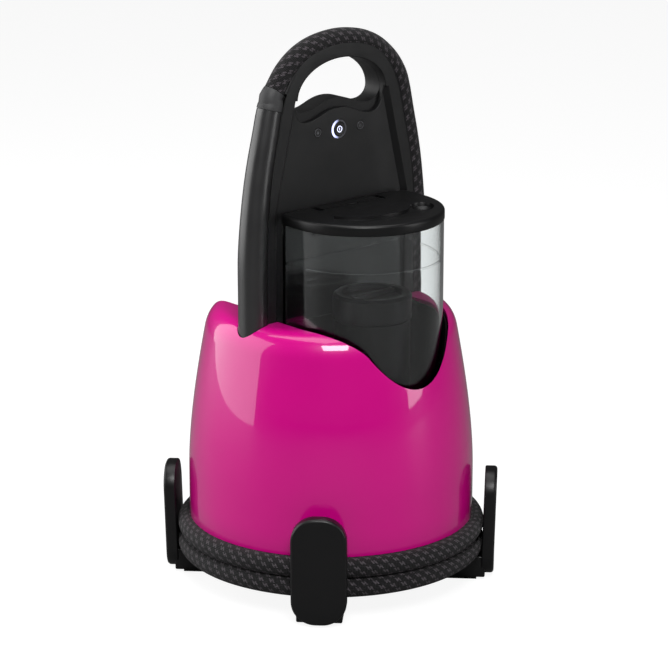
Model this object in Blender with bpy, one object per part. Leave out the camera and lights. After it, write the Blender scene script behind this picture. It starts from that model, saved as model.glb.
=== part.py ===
"""A carry-type steam generator for garments, with its steam head parked on its back.

Metres, +Z up. The origin is on the floor, under the axis of the round body. The front, with
the water tank, faces -Y. Each object is one piece of the machine.
"""

import math

import bmesh
import bpy
from mathutils import Matrix, Vector

GAP = 0.0003  # between pieces that touch

# The round body: a painted shell over a black drum.
BODY_RADIUS = 0.1078
SHELL_FOOT_Z = 0.0492
SHELL_WAIST_Z = 0.085  # the shell tapers above this
SHELL_SHOULDER_RADIUS = 0.0945
SHELL_SHOULDER_Z = 0.1955
SHELL_TOP_Z = 0.2115
SHELL_WALL = 0.0025
DRUM_RADIUS = 0.0998
DRUM_FLOOR_Z = 0.0190
DRUM_WALL = 0.0025

# The four hooks that the body stands on and that hold the wound hose.
HOOK_OUTER = 0.1265
HOOK_THICKNESS = 0.0092
HOOK_WIDTH = 0.0410
HOOK_HEIGHT = 0.0845
HOOK_LEG_REACH = 0.050  # how near the body's axis each foot leg starts
PAD_THICKNESS = 0.0016

# The water tank, D-shaped in plan, and its lid.
TANK_RADIUS = 0.0600
TANK_CENTRE_Y = -0.0350
TANK_BACK_Y = -0.0138
TANK_WALL = 0.0025
TANK_FLOOR_Z = 0.1300
LID_TOP_Z = 0.2923
LID_THICKNESS = 0.0075
LID_OVERHANG = 0.0005
LID_HINGE_Y = -0.0176
LID_BACK = 0.0040  # from the hinge axis to the lid's back edge
LID_SWING_RADIUS = 0.0062
LID_PIN_RADIUS = 0.0012
LID_EAR_X = 0.0300
LID_EAR_WIDTH = 0.0040
FILTER_RADIUS = 0.0290
FILTER_HEIGHT = 0.0975
FILTER_CENTRE_Y = -0.0465
VALVE_Y = -0.0600
VALVE_RADIUS = 0.0068

# The well that the tank drops into, and the opening in the shell around it.
OPENING_RADIUS = 0.0630
OPENING_CENTRE_Y = -0.0365
WELL_WALL = 0.0016
WELL_FLOOR_Z = 0.1270

# The column with the carrying handle: a front shell and a rear shell.
PANEL_Y = -0.0092
ROLL_Y = -0.0130
PARTING_Y = -0.0055  # between the front and the rear shell
COLUMN_BACK_Y = 0.0105
COLUMN_FOOT_Z = 0.1280
COLUMN_HALF_WIDTH = 0.0752
ARCH_TOP_Z = 0.4128
GRIP_HALF_WIDTH = 0.0425
GRIP_SPRING_Z = 0.3720
GRIP_RISE = 0.0277
PANEL_TOP_HALF = 0.0413
PANEL_TOP_Z = 0.3730
PANEL_LOW_HALF = 0.0604
PANEL_LOW_Z = 0.2925
BUTTON_Z = 0.3460
BUTTON_RADIUS = 0.0054
RING_RADIUS = 0.0070
LIGHT_RADIUS = 0.0031
LIGHT_SPACING = 0.0206

# The steam hose.
HOSE_RADIUS = 0.0075
HOSE_STEP = 0.0140  # between the points of its centre line
WIND_RADIUS = 0.1092
LOW_TURN_Z = 0.0265
HIGH_TURN_Z = 0.0415
LEG_RADIUS_TOP = 0.0091
LEG_RADIUS_FOOT = 0.0108
LEG_TOP_Z = 0.3680

# The dock at the back, and the steam head that stands in it.
DOCK_HALF_WIDTH = 0.0560
DOCK_FLOOR_Z = 0.0920
DOCK_WALL = 0.0016
SOLE_Y = 0.0130
SOLE_THICKNESS = 0.0060
SOLE_HALF_WIDTH = 0.0480
SOLE_HEEL_Z = 0.0970
SOLE_TIP_Z = 0.3120
HEAD_DEPTH = 0.0330
HANDLE_RADIUS = 0.0120
TRIGGER_TRAVEL = 0.0030
TRIGGER_Y = 0.0680
TRIGGER_DEPTH = 0.0085
TRIGGER_LOW_Z = 0.1780
TRIGGER_HIGH_Z = 0.2040
GLAND_X = -0.0320
GLAND_Z = 0.0745

# What is inside the body.
BOILER_RADIUS = 0.0500
BOILER_Y = -0.0425
BOILER_FOOT_Z = 0.0300
BOILER_TOP_Z = 0.0985

# The hose's route on the column, from the collar over the arch and down into the body.
ARCH_ROUTE = [
    (-0.0587, 0.3815), (-0.0490, 0.3945), (-0.0360, 0.4045), (-0.0200, 0.4105), (0.0, 0.4128),
    (0.0200, 0.4105), (0.0360, 0.4045), (0.0490, 0.3945), (0.0580, 0.3830), (0.0625, 0.3720),
    (0.0675, 0.3500), (0.0720, 0.3300), (0.0755, 0.3100), (0.0784, 0.2850), (0.0800, 0.2600),
    (0.0800, 0.2300),
]
# From the arch's foot through the body to the wound turns.
INNER_ROUTE = [
    (0.0800, -0.0050, 0.2050), (0.0795, 0.0080, 0.1750), (0.0775, 0.0270, 0.1400),
    (0.0735, 0.0480, 0.1090), (0.0640, 0.0670, 0.0850), (0.0480, 0.0850, 0.0680),
    (0.0310, 0.0975, 0.0600), (0.0140, 0.1055, 0.0573),
]
# From the turns, along the floor behind the body and up to the steam head.
TAIL_ROUTE = [
    (0.1166, 0.0445, 0.0262), (0.1181, 0.0560, 0.0245), (0.1182, 0.0690, 0.0208),
    (0.1148, 0.0870, 0.0150), (0.1050, 0.1065, 0.0102), (0.0880, 0.1220, 0.0080),
    (0.0660, 0.1315, 0.0080), (0.0440, 0.1352, 0.0108), (0.0250, 0.1360, 0.0190),
    (0.0110, 0.1357, 0.0315), (0.0030, 0.1343, 0.0465), (0.0003, 0.1302, 0.0620),
    (0.0, 0.1239, 0.0742), (0.0, 0.1182, 0.0824), (0.0, 0.1137, 0.0890),
]
HOSE_Y = PARTING_Y
HANDLE_TIP = (0.0, 0.0965, 0.1140)  # where the hose goes into the steam head

PAINT = (0.55, 0.004, 0.20)
SATIN_BLACK = (0.010, 0.010, 0.011)
SOFT_BLACK = (0.016, 0.016, 0.017)
GREY = (0.10, 0.10, 0.105)
STEEL = (0.55, 0.56, 0.57)
BRASS = (0.62, 0.45, 0.18)
RUBBER = (0.02, 0.02, 0.02)
CLEAR = (0.80, 0.83, 0.84)
BOARD = (0.02, 0.12, 0.05)
SILICONE = (0.72, 0.71, 0.68)


def clear_scene():
    for obj in list(bpy.data.objects):
        bpy.data.objects.remove(obj, do_unlink=True)


def bezier(start, near_start, near_end, end, steps):
    """Points along a cubic curve, without its first point."""
    points = []
    for i in range(1, steps + 1):
        t = i / steps
        weights = ((1 - t) ** 3, 3 * t * (1 - t) ** 2, 3 * t * t * (1 - t), t**3)
        corners = (start, near_start, near_end, end)
        points.append(tuple(sum(w * c[k] for w, c in zip(weights, corners)) for k in range(len(start))))
    return points


def arc(centre, radius, start_degrees, end_degrees, steps):
    points = []
    for i in range(steps + 1):
        angle = math.radians(start_degrees + (end_degrees - start_degrees) * i / steps)
        points.append((centre[0] + radius * math.cos(angle), centre[1] + radius * math.sin(angle)))
    return points


def smooth_route(route, spacing):
    """Evenly spaced points on a smooth curve through the route's own points."""
    points = [Vector(p) for p in route]
    ends = [2 * points[0] - points[1]] + points + [2 * points[-1] - points[-2]]
    fine = [points[0]]
    for a, b, c, d in zip(ends, ends[1:], ends[2:], ends[3:]):
        for i in range(1, 13):
            t = i / 12
            fine.append(0.5 * (2 * b + (c - a) * t + (2 * a - 5 * b + 4 * c - d) * t * t
                               + (3 * b - a - 3 * c + d) * t**3))
    reach = [0.0]
    for p, q in zip(fine, fine[1:]):
        reach.append(reach[-1] + (q - p).length)
    count = max(2, round(reach[-1] / spacing))
    even = []
    k = 0
    for i in range(count + 1):
        target = reach[-1] * i / count
        while k < len(fine) - 2 and reach[k + 1] < target:
            k += 1
        share = (target - reach[k]) / max(reach[k + 1] - reach[k], 1e-9)
        even.append(fine[k].lerp(fine[k + 1], min(share, 1.0)))
    return even


def material(name, colour, roughness, metallic):
    mat = bpy.data.materials.new(name)
    mat.use_nodes = True
    shader = mat.node_tree.nodes["Principled BSDF"]
    shader.inputs["Base Color"].default_value = (*colour, 1.0)
    shader.inputs["Roughness"].default_value = roughness
    shader.inputs["Metallic"].default_value = metallic
    return mat


def finish(name, bm, colour, roughness=0.4, metallic=0.0):
    """Makes a named object from a closed bmesh."""
    bmesh.ops.remove_doubles(bm, verts=bm.verts, dist=1e-6)
    bmesh.ops.dissolve_limit(bm, angle_limit=0.0005, verts=bm.verts, edges=bm.edges)
    bmesh.ops.recalc_face_normals(bm, faces=bm.faces)
    mesh = bpy.data.meshes.new(name)
    bm.to_mesh(mesh)
    bm.free()
    mesh.shade_smooth()
    mesh.set_sharp_from_angle(angle=math.radians(35))
    obj = bpy.data.objects.new(name, mesh)
    bpy.context.scene.collection.objects.link(obj)
    if colour:
        mesh.materials.append(material(name, colour, roughness, metallic))
    return obj


def lathe_bmesh(profile, segments, centre=(0.0, 0.0), closed=False):
    """Turns a profile of (radius, height) points about a vertical axis."""
    bm = bmesh.new()
    cx, cy = centre
    verts = [bm.verts.new((cx + r, cy, z)) for r, z in profile]
    edges = [bm.edges.new(pair) for pair in zip(verts, verts[1:])]
    if closed:
        edges.append(bm.edges.new((verts[-1], verts[0])))
    bmesh.ops.spin(bm, geom=verts + edges, cent=(cx, cy, 0), axis=(0, 0, 1), angle=math.tau,
                   steps=segments, use_merge=True)
    return bm


def prism_bmesh(outline, low, high, axis):
    """Extrudes an outline along "X", "Y" or "Z" from low to high."""
    places = {
        "X": lambda a, b: (low, a, b),
        "Y": lambda a, b: (a, low, b),
        "Z": lambda a, b: (a, b, low),
    }
    push = Vector([high - low if axis == name else 0.0 for name in "XYZ"])
    bm = bmesh.new()
    face = bm.faces.new([bm.verts.new(places[axis](a, b)) for a, b in outline])
    out = bmesh.ops.extrude_face_region(bm, geom=[face])
    bmesh.ops.translate(bm, verts=[v for v in out["geom"] if isinstance(v, bmesh.types.BMVert)], vec=push)
    return bm


def tube_bmesh(points, radii, sides):
    """A round tube along a smooth line, closed at both ends."""
    bm = bmesh.new()
    points = [Vector(p) for p in points]
    side = None
    rings = []
    for i, point in enumerate(points):
        ahead = points[min(i + 1, len(points) - 1)] - points[max(i - 1, 0)]
        ahead.normalize()
        if side is None:
            side = ahead.orthogonal().normalized()
        side = (side - side.project(ahead)).normalized()
        up = ahead.cross(side)
        ring = []
        for k in range(sides):
            turn = math.tau * k / sides
            ring.append(bm.verts.new(point + radii[i] * (math.cos(turn) * side + math.sin(turn) * up)))
        rings.append(ring)
    for a, b in zip(rings, rings[1:]):
        for k in range(sides):
            n = (k + 1) % sides
            bm.faces.new((a[k], a[n], b[n], b[k]))
    bm.faces.new(list(reversed(rings[0])))
    bm.faces.new(rings[-1])
    return bm


def box_outline(half_width, low, high):
    return [(-half_width, low), (half_width, low), (half_width, high), (-half_width, high)]


def bevel_edges(bm, choose, width, steps):
    edges = [e for e in bm.edges if choose(e)]
    bmesh.ops.bevel(bm, geom=edges, offset=width, segments=steps, profile=0.5, affect="EDGES",
                    clamp_overlap=True)


def cut(target, cutters, operation="DIFFERENCE"):
    """Cuts a piece with hidden cutters, one after another."""
    for number, bm in enumerate(cutters):
        name = f"cutter_{target.name}_{operation.lower()}_{number}"
        cutter = finish(name, bm, None)
        cutter.hide_render = True
        cutter.display_type = "WIRE"
        step = target.modifiers.new(name, "BOOLEAN")
        step.operation = operation
        step.solver = "EXACT"
        step.object = cutter
    return target


def pivot(name, place):
    empty = bpy.data.objects.new(name, None)
    empty.location = place
    empty.empty_display_size = 0.02
    bpy.context.scene.collection.objects.link(empty)
    return empty


def hang(parent, *children):
    for child in children:
        child.parent = parent
        child.matrix_parent_inverse = Matrix.Translation(-parent.location)


def tank_outline(radius, centre_y, back_y, corner=0.003, steps=21):
    """A D in plan: half round in front, straight sides, and a flat back with round corners."""
    left = arc((-(radius - corner), back_y - corner), corner, 90, 180, 3)
    front = arc((0.0, centre_y), radius, 180, 360, steps)
    right = arc((radius - corner, back_y - corner), corner, 0, 90, 3)
    return left + front + right


def shell_profile(inset, foot_z, top_radius=0.0):
    """The outer side of the shell from its foot to its top, moved inwards by inset."""
    wall = [(BODY_RADIUS, foot_z), (BODY_RADIUS, SHELL_WAIST_Z)]
    shoulder = (SHELL_SHOULDER_RADIUS, SHELL_SHOULDER_Z)
    wall += bezier(wall[-1], (BODY_RADIUS, 0.125), (0.0985, 0.174), shoulder, 6)
    wall += bezier(shoulder, (0.0925, 0.2045), (0.0875, SHELL_TOP_Z), (0.0775, SHELL_TOP_Z), 4)
    wall.append((top_radius, SHELL_TOP_Z))
    points = []
    for i, (r, z) in enumerate(wall):
        before, after = wall[max(i - 1, 0)], wall[min(i + 1, len(wall) - 1)]
        along = Vector((after[0] - before[0], after[1] - before[1])).normalized()
        if i == 0:
            points.append((r - inset, z))
        elif z == SHELL_TOP_Z:
            points.append((r, z - inset))
        else:
            points.append((r - inset * along.y, z + inset * along.x))
    return points


def column_outline():
    """The column's outline seen from the front, from its foot round over the arch."""
    half = [(COLUMN_HALF_WIDTH, COLUMN_FOOT_Z), (COLUMN_HALF_WIDTH, 0.250), (COLUMN_HALF_WIDTH - 0.0003, 0.265),
            (COLUMN_HALF_WIDTH - 0.0010, 0.280), (COLUMN_HALF_WIDTH - 0.0040, 0.310),
            (COLUMN_HALF_WIDTH - 0.0077, 0.331), (COLUMN_HALF_WIDTH - 0.0122, 0.350)]
    half += bezier(half[-1], (0.0560, 0.3900), (0.0420, ARCH_TOP_Z), (0.0, ARCH_TOP_Z), 10)
    return half + [(-x, z) for x, z in reversed(half[:-1])]


def grip_outline(low_z, low_x, crest_z):
    """The finger opening: an arch above a wavy lower edge."""
    ring = [(GRIP_HALF_WIDTH * math.cos(math.pi * i / 14), GRIP_SPRING_Z + GRIP_RISE * math.sin(math.pi * i / 14))
            for i in range(15)]
    corner, dip, crest = (GRIP_HALF_WIDTH, GRIP_SPRING_Z), (low_x, low_z), (0.0, crest_z)
    right = bezier(corner, (GRIP_HALF_WIDTH, low_z + 0.005), (low_x + 0.008, low_z), dip, 4)
    right += bezier(dip, (low_x - 0.011, low_z), (0.014, crest_z), crest, 4)
    ring += [(-x, z) for x, z in right[:-1]]
    return ring + list(reversed(right))


def panel_cutter():
    """The recess of the control panel, with sides that slope outwards."""
    slope = PANEL_Y - ROLL_Y + 0.0010
    near = [(PANEL_TOP_HALF, PANEL_TOP_Z), (PANEL_LOW_HALF, PANEL_LOW_Z), (PANEL_LOW_HALF, COLUMN_FOOT_Z - 0.01)]
    far = [(x + slope, z) for x, z in near]
    bm = bmesh.new()
    rings = []
    for y, half in ((PANEL_Y, near), (PANEL_Y - slope, far)):
        outline = half + [(-x, z) for x, z in reversed(half)]
        rings.append([bm.verts.new((x, y, z)) for x, z in outline])
    bm.faces.new(rings[0])
    bm.faces.new(list(reversed(rings[1])))
    count = len(rings[0])
    for k in range(count):
        n = (k + 1) % count
        bm.faces.new((rings[0][k], rings[1][k], rings[1][n], rings[0][n]))
    return bm


def run_route():
    """The hose's centre line from the collar to the wound turns."""
    return [(x, HOSE_Y, z) for x, z in ARCH_ROUTE] + INNER_ROUTE


def leg_top():
    """Where the left leg ends, and its direction there."""
    return Vector((-0.0634, HOSE_Y, LEG_TOP_Z)), Vector((0.27, 0.0, 1.0)).normalized()


def leg_points():
    """The centre of the left leg, from its foot up to the collar."""
    foot_x = ARCH_ROUTE[-1][0]
    top, along = leg_top()
    low = [(-foot_x, HOSE_Y, COLUMN_FOOT_Z), (-foot_x, HOSE_Y, 0.1900)]
    high = [(-x, HOSE_Y, z) for x, z in reversed(ARCH_ROUTE) if x > 0 and z < LEG_TOP_Z - 0.015]
    return smooth_route(low + high + [top - 0.006 * along], 0.020) + [top]


def leg_radii(count, extra=0.0):
    slim = LEG_RADIUS_FOOT - LEG_RADIUS_TOP
    return [LEG_RADIUS_FOOT - slim * max(0.0, 2.2 * i / (count - 1) - 1.2) + extra for i in range(count)]


# ---------------------------------------------------------------- body

def dome_bmesh():
    """What the shell's inside has room for."""
    return lathe_bmesh([(0.0, SHELL_FOOT_Z)] + shell_profile(SHELL_WALL + 2 * GAP, SHELL_FOOT_Z), 56)


def build_outer_shell():
    outer = shell_profile(0.0, SHELL_FOOT_Z, 0.050)
    inner = shell_profile(SHELL_WALL, SHELL_FOOT_Z, 0.050)
    shell = finish("outer_shell", lathe_bmesh(outer + inner[::-1], 56, closed=True), PAINT, 0.15)
    column = COLUMN_HALF_WIDTH + 2 * GAP
    front_y = ROLL_Y - 2 * GAP
    back_y = COLUMN_BACK_Y + 2 * GAP
    opening = arc((0.0, OPENING_CENTRE_Y), OPENING_RADIUS, 180, 360, 25)
    opening += [(OPENING_RADIUS, front_y), (column, front_y), (column, back_y)]
    opening += [(DOCK_HALF_WIDTH, back_y), (DOCK_HALF_WIDTH, BODY_RADIUS + 0.02)]
    opening += [(-DOCK_HALF_WIDTH, BODY_RADIUS + 0.02), (-DOCK_HALF_WIDTH, back_y)]
    opening += [(-column, back_y), (-column, front_y), (-OPENING_RADIUS, front_y)]
    top_z = SHELL_TOP_Z + 0.03
    leg_x = ARCH_ROUTE[-1][0]
    leg = lathe_bmesh([(0, 0.15), (LEG_RADIUS_FOOT + 2 * GAP, 0.15), (LEG_RADIUS_FOOT + 2 * GAP, top_z), (0, top_z)],
                      24, (-leg_x, HOSE_Y))
    hose = lathe_bmesh([(0, 0.15), (HOSE_RADIUS + 3 * GAP, 0.15), (HOSE_RADIUS + 3 * GAP, top_z), (0, top_z)],
                       24, (leg_x, HOSE_Y))
    cut(shell, [prism_bmesh(opening, SHELL_FOOT_Z - 0.01, top_z, "Z"), leg, hose])


def build_base_pan():
    wall_top = SHELL_FOOT_Z + 0.0008
    rim = BODY_RADIUS - SHELL_WALL - GAP
    outer = [(0.0, DRUM_FLOOR_Z), (DRUM_RADIUS - 0.001, DRUM_FLOOR_Z), (DRUM_RADIUS, DRUM_FLOOR_Z + 0.001),
             (DRUM_RADIUS, wall_top), (rim, wall_top + 0.001), (rim, wall_top + 0.006)]
    inner = [(rim - DRUM_WALL, wall_top + 0.006), (DRUM_RADIUS - DRUM_WALL, wall_top),
             (DRUM_RADIUS - DRUM_WALL, DRUM_FLOOR_Z + DRUM_WALL), (0.0, DRUM_FLOOR_Z + DRUM_WALL)]
    pan = finish("base_pan", lathe_bmesh(outer + inner, 48), SOFT_BLACK, 0.5)
    holes = [pan_hole(0.0019, 8, place) for place in screw_places()]
    hose_y = 0.130
    notch = prism_bmesh([(-DOCK_HALF_WIDTH, 0.070), (DOCK_HALF_WIDTH + 0.004, 0.070),
                         (DOCK_HALF_WIDTH + 0.004, hose_y), (-DOCK_HALF_WIDTH, hose_y)],
                        wall_top - 0.0005, wall_top + 0.02, "Z")
    cut(pan, holes + [notch, pan_hole(0.0062, 15, (0.0, BOILER_Y))])


def pan_hole(radius, segments, place):
    low, high = DRUM_FLOOR_Z - 0.004, DRUM_FLOOR_Z + DRUM_WALL + 0.004
    return lathe_bmesh([(0, low), (radius, low), (radius, high), (0, high)], segments, place)


def screw_places():
    radius = 0.085
    angles = (3.75, 93.75, 183.75, 273.75)
    return [(radius * math.cos(math.radians(a)), radius * math.sin(math.radians(a))) for a in angles]


def build_base_screws():
    head_z = DRUM_FLOOR_Z - GAP
    profile = [(0.0, head_z - 0.0022), (0.0028, head_z - 0.0022), (0.0036, head_z - 0.0010), (0.0036, head_z),
               (0.0015, head_z), (0.0015, head_z + 0.008), (0.0, head_z + 0.0085)]
    for number, place in enumerate(screw_places(), 1):
        finish(f"base_screw_{number}", lathe_bmesh(profile, 10, place), STEEL, 0.35, 1.0)


def build_hooks():
    """Each hook is an upright pill-shaped plate on a leg that runs in under the drum."""
    half = HOOK_WIDTH / 2
    low = PAD_THICKNESS + GAP
    leg_top = DRUM_FLOOR_Z - GAP
    inner = HOOK_OUTER - HOOK_THICKNESS
    corner = half - 0.003
    names = {45: "rear_right", 135: "rear_left", 225: "front_left", 315: "front_right"}
    for degrees, name in names.items():
        plate = [(x, z) for x, z in arc((half - corner, HOOK_HEIGHT - corner), corner, 0, 90, 6)]
        plate += arc((-(half - corner), HOOK_HEIGHT - corner), corner, 90, 180, 6)
        plate += arc((-(half - corner), low + corner), corner, 180, 270, 6)
        plate += arc((half - corner, low + corner), corner, 270, 360, 6)
        bm = prism_bmesh([(y, z) for y, z in plate], inner, HOOK_OUTER, "X")
        bevel_edges(bm, lambda e: all(abs(v.co.x - HOOK_OUTER) < 1e-6 for v in e.verts), 0.0022, 2)
        leg_half = half - 0.0035
        leg = prism_bmesh([(HOOK_LEG_REACH, -leg_half), (inner + 0.003, -leg_half), (inner + 0.003, leg_half),
                           (HOOK_LEG_REACH, leg_half)], low, leg_top, "Z")
        turn = Matrix.Rotation(math.radians(degrees), 4, "Z")
        bmesh.ops.transform(bm, matrix=turn, verts=bm.verts)
        bmesh.ops.transform(leg, matrix=turn, verts=leg.verts)
        hook = finish(f"hose_hook_{name}", bm, SATIN_BLACK, 0.35)
        cut(hook, [leg], "UNION")
        pad = prism_bmesh([(0.070, -leg_half + 0.002), (0.112, -leg_half + 0.002), (0.112, leg_half - 0.002),
                           (0.070, leg_half - 0.002)], 0.0, PAD_THICKNESS, "Z")
        bmesh.ops.transform(pad, matrix=turn, verts=pad.verts)
        finish(f"foot_pad_{name}", pad, RUBBER, 0.9)


def build_tank_well():
    outer = OPENING_RADIUS - 2 * GAP
    back = PANEL_Y - GAP
    tub = tank_outline(outer, OPENING_CENTRE_Y, back)
    room = tank_outline(outer - WELL_WALL, OPENING_CENTRE_Y, back - WELL_WALL + 0.0002)
    well = finish("tank_well", prism_bmesh(tub, WELL_FLOOR_Z, SHELL_TOP_Z + 0.01, "Z"), SOFT_BLACK, 0.45)
    cut(well, [dome_bmesh()], "INTERSECT")
    inside = prism_bmesh(room, TANK_FLOOR_Z - GAP, SHELL_TOP_Z + 0.02, "Z")
    bore, low = VALVE_RADIUS + 0.0006, WELL_FLOOR_Z - 0.005
    hole = lathe_bmesh([(0, low), (bore, low), (bore, low + 0.01), (0, low + 0.01)], 17, (0.0, VALVE_Y))
    cut(well, [inside, hole])


def build_valve_socket():
    top = WELL_FLOOR_Z - GAP
    outer, bore = VALVE_RADIUS + 0.0035, VALVE_RADIUS + 0.0006
    profile = [(0.0, top - 0.015), (outer, top - 0.015), (outer, top), (bore, top), (bore, top - 0.011),
               (0.0, top - 0.011)]
    finish("valve_socket", lathe_bmesh(profile, 16, (0.0, VALVE_Y)), SOFT_BLACK, 0.5)


# ---------------------------------------------------------------- tank

def lid_axis_z():
    return LID_TOP_Z - LID_THICKNESS / 2


def build_water_tank():
    rim_z = LID_TOP_Z - LID_THICKNESS - 0.0005
    outer = tank_outline(TANK_RADIUS, TANK_CENTRE_Y, TANK_BACK_Y)
    inner = tank_outline(TANK_RADIUS - TANK_WALL, TANK_CENTRE_Y, TANK_BACK_Y - TANK_WALL, 0.002)
    tank = finish("water_tank", prism_bmesh(outer, TANK_FLOOR_Z, rim_z, "Z"), CLEAR, 0.05)
    room = prism_bmesh(inner, TANK_FLOOR_Z + 0.003, rim_z + 0.01, "Z")
    low, high = TANK_FLOOR_Z - 0.005, TANK_FLOOR_Z + 0.005
    hole = lathe_bmesh([(0, low), (0.0056, low), (0.0056, high), (0, high)], 17, (0.0, VALVE_Y))
    cut(tank, [room, hole, pin_bmesh(LID_SWING_RADIUS, TANK_RADIUS + 0.001)])
    wall_y = TANK_BACK_Y - TANK_WALL / 2
    for x in (-LID_EAR_X, LID_EAR_X):
        ear = prism_bmesh([(LID_HINGE_Y - 0.0030, rim_z - 0.012), (wall_y, rim_z - 0.012),
                           (wall_y, lid_axis_z() + 0.0018), (LID_HINGE_Y - 0.0030, lid_axis_z() + 0.0018)],
                          x - LID_EAR_WIDTH / 2, x + LID_EAR_WIDTH / 2, "X")
        cut(tank, [ear], "UNION")
    cut(tank, [pin_bmesh(LID_PIN_RADIUS + GAP, LID_EAR_X + 0.006)])
    return tank


def pin_bmesh(radius, half_length):
    bm = lathe_bmesh([(0, -half_length), (radius, -half_length), (radius, half_length), (0, half_length)], 12)
    bmesh.ops.rotate(bm, cent=(0, 0, 0), matrix=Matrix.Rotation(math.pi / 2, 3, "Y"), verts=bm.verts)
    bmesh.ops.translate(bm, verts=bm.verts, vec=(0.0, LID_HINGE_Y, lid_axis_z()))
    return bm


def build_tank_lid():
    low = LID_TOP_Z - LID_THICKNESS
    back = LID_HINGE_Y + LID_BACK
    outline = tank_outline(TANK_RADIUS + LID_OVERHANG, TANK_CENTRE_Y, back, 0.0035)
    bm = prism_bmesh(outline, low, LID_TOP_Z, "Z")
    bevel_edges(bm, lambda e: all(abs(v.co.z - LID_TOP_Z) < 1e-6 and v.co.y < back - 1e-5 for v in e.verts), 0.002, 1)
    bevel_edges(bm, lambda e: all(abs(v.co.y - back) < 1e-6 for v in e.verts)
                and abs(e.verts[0].co.z - e.verts[1].co.z) < 1e-6, 0.0034, 2)
    lid = finish("tank_lid", bm, SATIN_BLACK, 0.35)
    groove = arc((0.0, TANK_CENTRE_Y), 0.048, 200, 326, 14)
    groove += arc((0.002, TANK_CENTRE_Y + 0.003), 0.034, 322, 206, 12)
    pocket = lathe_bmesh([(0, LID_TOP_Z - 0.005), (0.008, LID_TOP_Z - 0.005), (0.009, LID_TOP_Z + 0.005),
                          (0, LID_TOP_Z + 0.005)], 16, (0.0365, -0.0600))
    cutters = [prism_bmesh(groove, LID_TOP_Z - 0.0028, LID_TOP_Z + 0.005, "Z"), pocket]
    for x in (-LID_EAR_X, LID_EAR_X):
        half = LID_EAR_WIDTH / 2 + 0.0005
        cutters.append(prism_bmesh([(x - half, LID_HINGE_Y - 0.0080), (x + half, LID_HINGE_Y - 0.0080),
                                    (x + half, back + 0.002), (x - half, back + 0.002)],
                                   low - 0.002, LID_TOP_Z + 0.002, "Z"))
    cutters.append(pin_bmesh(LID_PIN_RADIUS + GAP, LID_EAR_X + 0.006))
    return cut(lid, cutters)


def build_lid_pin():
    return finish("lid_hinge_pin", pin_bmesh(LID_PIN_RADIUS, LID_EAR_X + 0.0055), STEEL, 0.3, 1.0)


def build_filter():
    low = TANK_FLOOR_Z + 0.003 + GAP
    top = low + FILTER_HEIGHT
    profile = [(0.0, low), (FILTER_RADIUS - 0.001, low), (FILTER_RADIUS, low + 0.001), (FILTER_RADIUS, top - 0.002),
               (FILTER_RADIUS - 0.002, top), (0.0, top)]
    body = finish("scale_filter", lathe_bmesh(profile, 32, (0.0, FILTER_CENTRE_Y)), SOFT_BLACK, 0.4)
    well = lathe_bmesh([(0, low - 0.002), (0.0085, low - 0.002), (0.0085, low + 0.006), (0, low + 0.006)],
                       17, (0.0, VALVE_Y))
    return cut(body, [well])


def build_tank_valve():
    profile = [(0.0, WELL_FLOOR_Z - 0.002), (VALVE_RADIUS, WELL_FLOOR_Z - 0.002),
               (VALVE_RADIUS, TANK_FLOOR_Z - GAP), (0.0052, TANK_FLOOR_Z - GAP), (0.0052, TANK_FLOOR_Z + 0.006),
               (0.0, TANK_FLOOR_Z + 0.007)]
    return finish("tank_valve", lathe_bmesh(profile, 16, (0.0, VALVE_Y)), GREY, 0.5)


# ---------------------------------------------------------------- column

def groove_cutters():
    """What the hose, the leg and the collar take out of the column's edge."""
    run = [point for point in smooth_route(run_route(), HOSE_STEP) if point.z > COLUMN_FOOT_Z - 0.02]
    hose = tube_bmesh(run, [HOSE_RADIUS + 1.5 * GAP] * len(run), 16)
    leg = leg_points()
    sleeve = tube_bmesh([leg[0] - Vector((0, 0, 0.01))] + leg[1:], leg_radii(len(leg), GAP), 16)
    collar = tube_bmesh(collar_points(0.0006), [LEG_RADIUS_TOP + 0.0007] * 4, 16)
    return [hose, sleeve, collar]


def well_clearance():
    outline = tank_outline(OPENING_RADIUS - GAP, OPENING_CENTRE_Y, PANEL_Y)
    return prism_bmesh(outline, WELL_FLOOR_Z - 0.02, SHELL_TOP_Z + 0.002, "Z")


def build_column_front():
    bm = prism_bmesh(column_outline(), ROLL_Y, PARTING_Y - GAP / 2, "Y")
    bevel_edges(bm, lambda e: all(abs(v.co.y - ROLL_Y) < 1e-6 and v.co.z > COLUMN_FOOT_Z + 1e-4 for v in e.verts),
                0.0035, 2)
    front = finish("column_front", bm, SOFT_BLACK, 0.5)
    grip = prism_bmesh(grip_outline(0.3550, 0.0305, 0.3622), ROLL_Y - 0.01, PARTING_Y + 0.01, "Y")
    cut(front, [panel_cutter(), grip] + groove_cutters() + [well_clearance()])
    holes = [(0.0, RING_RADIUS + GAP)]
    holes += [(x, LIGHT_RADIUS + GAP) for x in (-LIGHT_SPACING, LIGHT_SPACING)]
    cut(front, [front_disc(x, radius, PANEL_Y - 0.003, PARTING_Y + 0.003) for x, radius in holes])


def lay_along_y(bm, x, z):
    """Turns a lathed piece so that its heights run along +Y, and puts its axis at x, z."""
    bmesh.ops.rotate(bm, cent=(0, 0, 0), matrix=Matrix.Rotation(-math.pi / 2, 3, "X"), verts=bm.verts)
    bmesh.ops.translate(bm, verts=bm.verts, vec=(x, 0.0, z))
    return bm


def front_disc(x, radius, y0, y1, segments=16):
    """A disc in the panel, with its axis along Y."""
    return lay_along_y(lathe_bmesh([(0, y0), (radius, y0), (radius, y1), (0, y1)], segments), x, BUTTON_Z)


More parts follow.
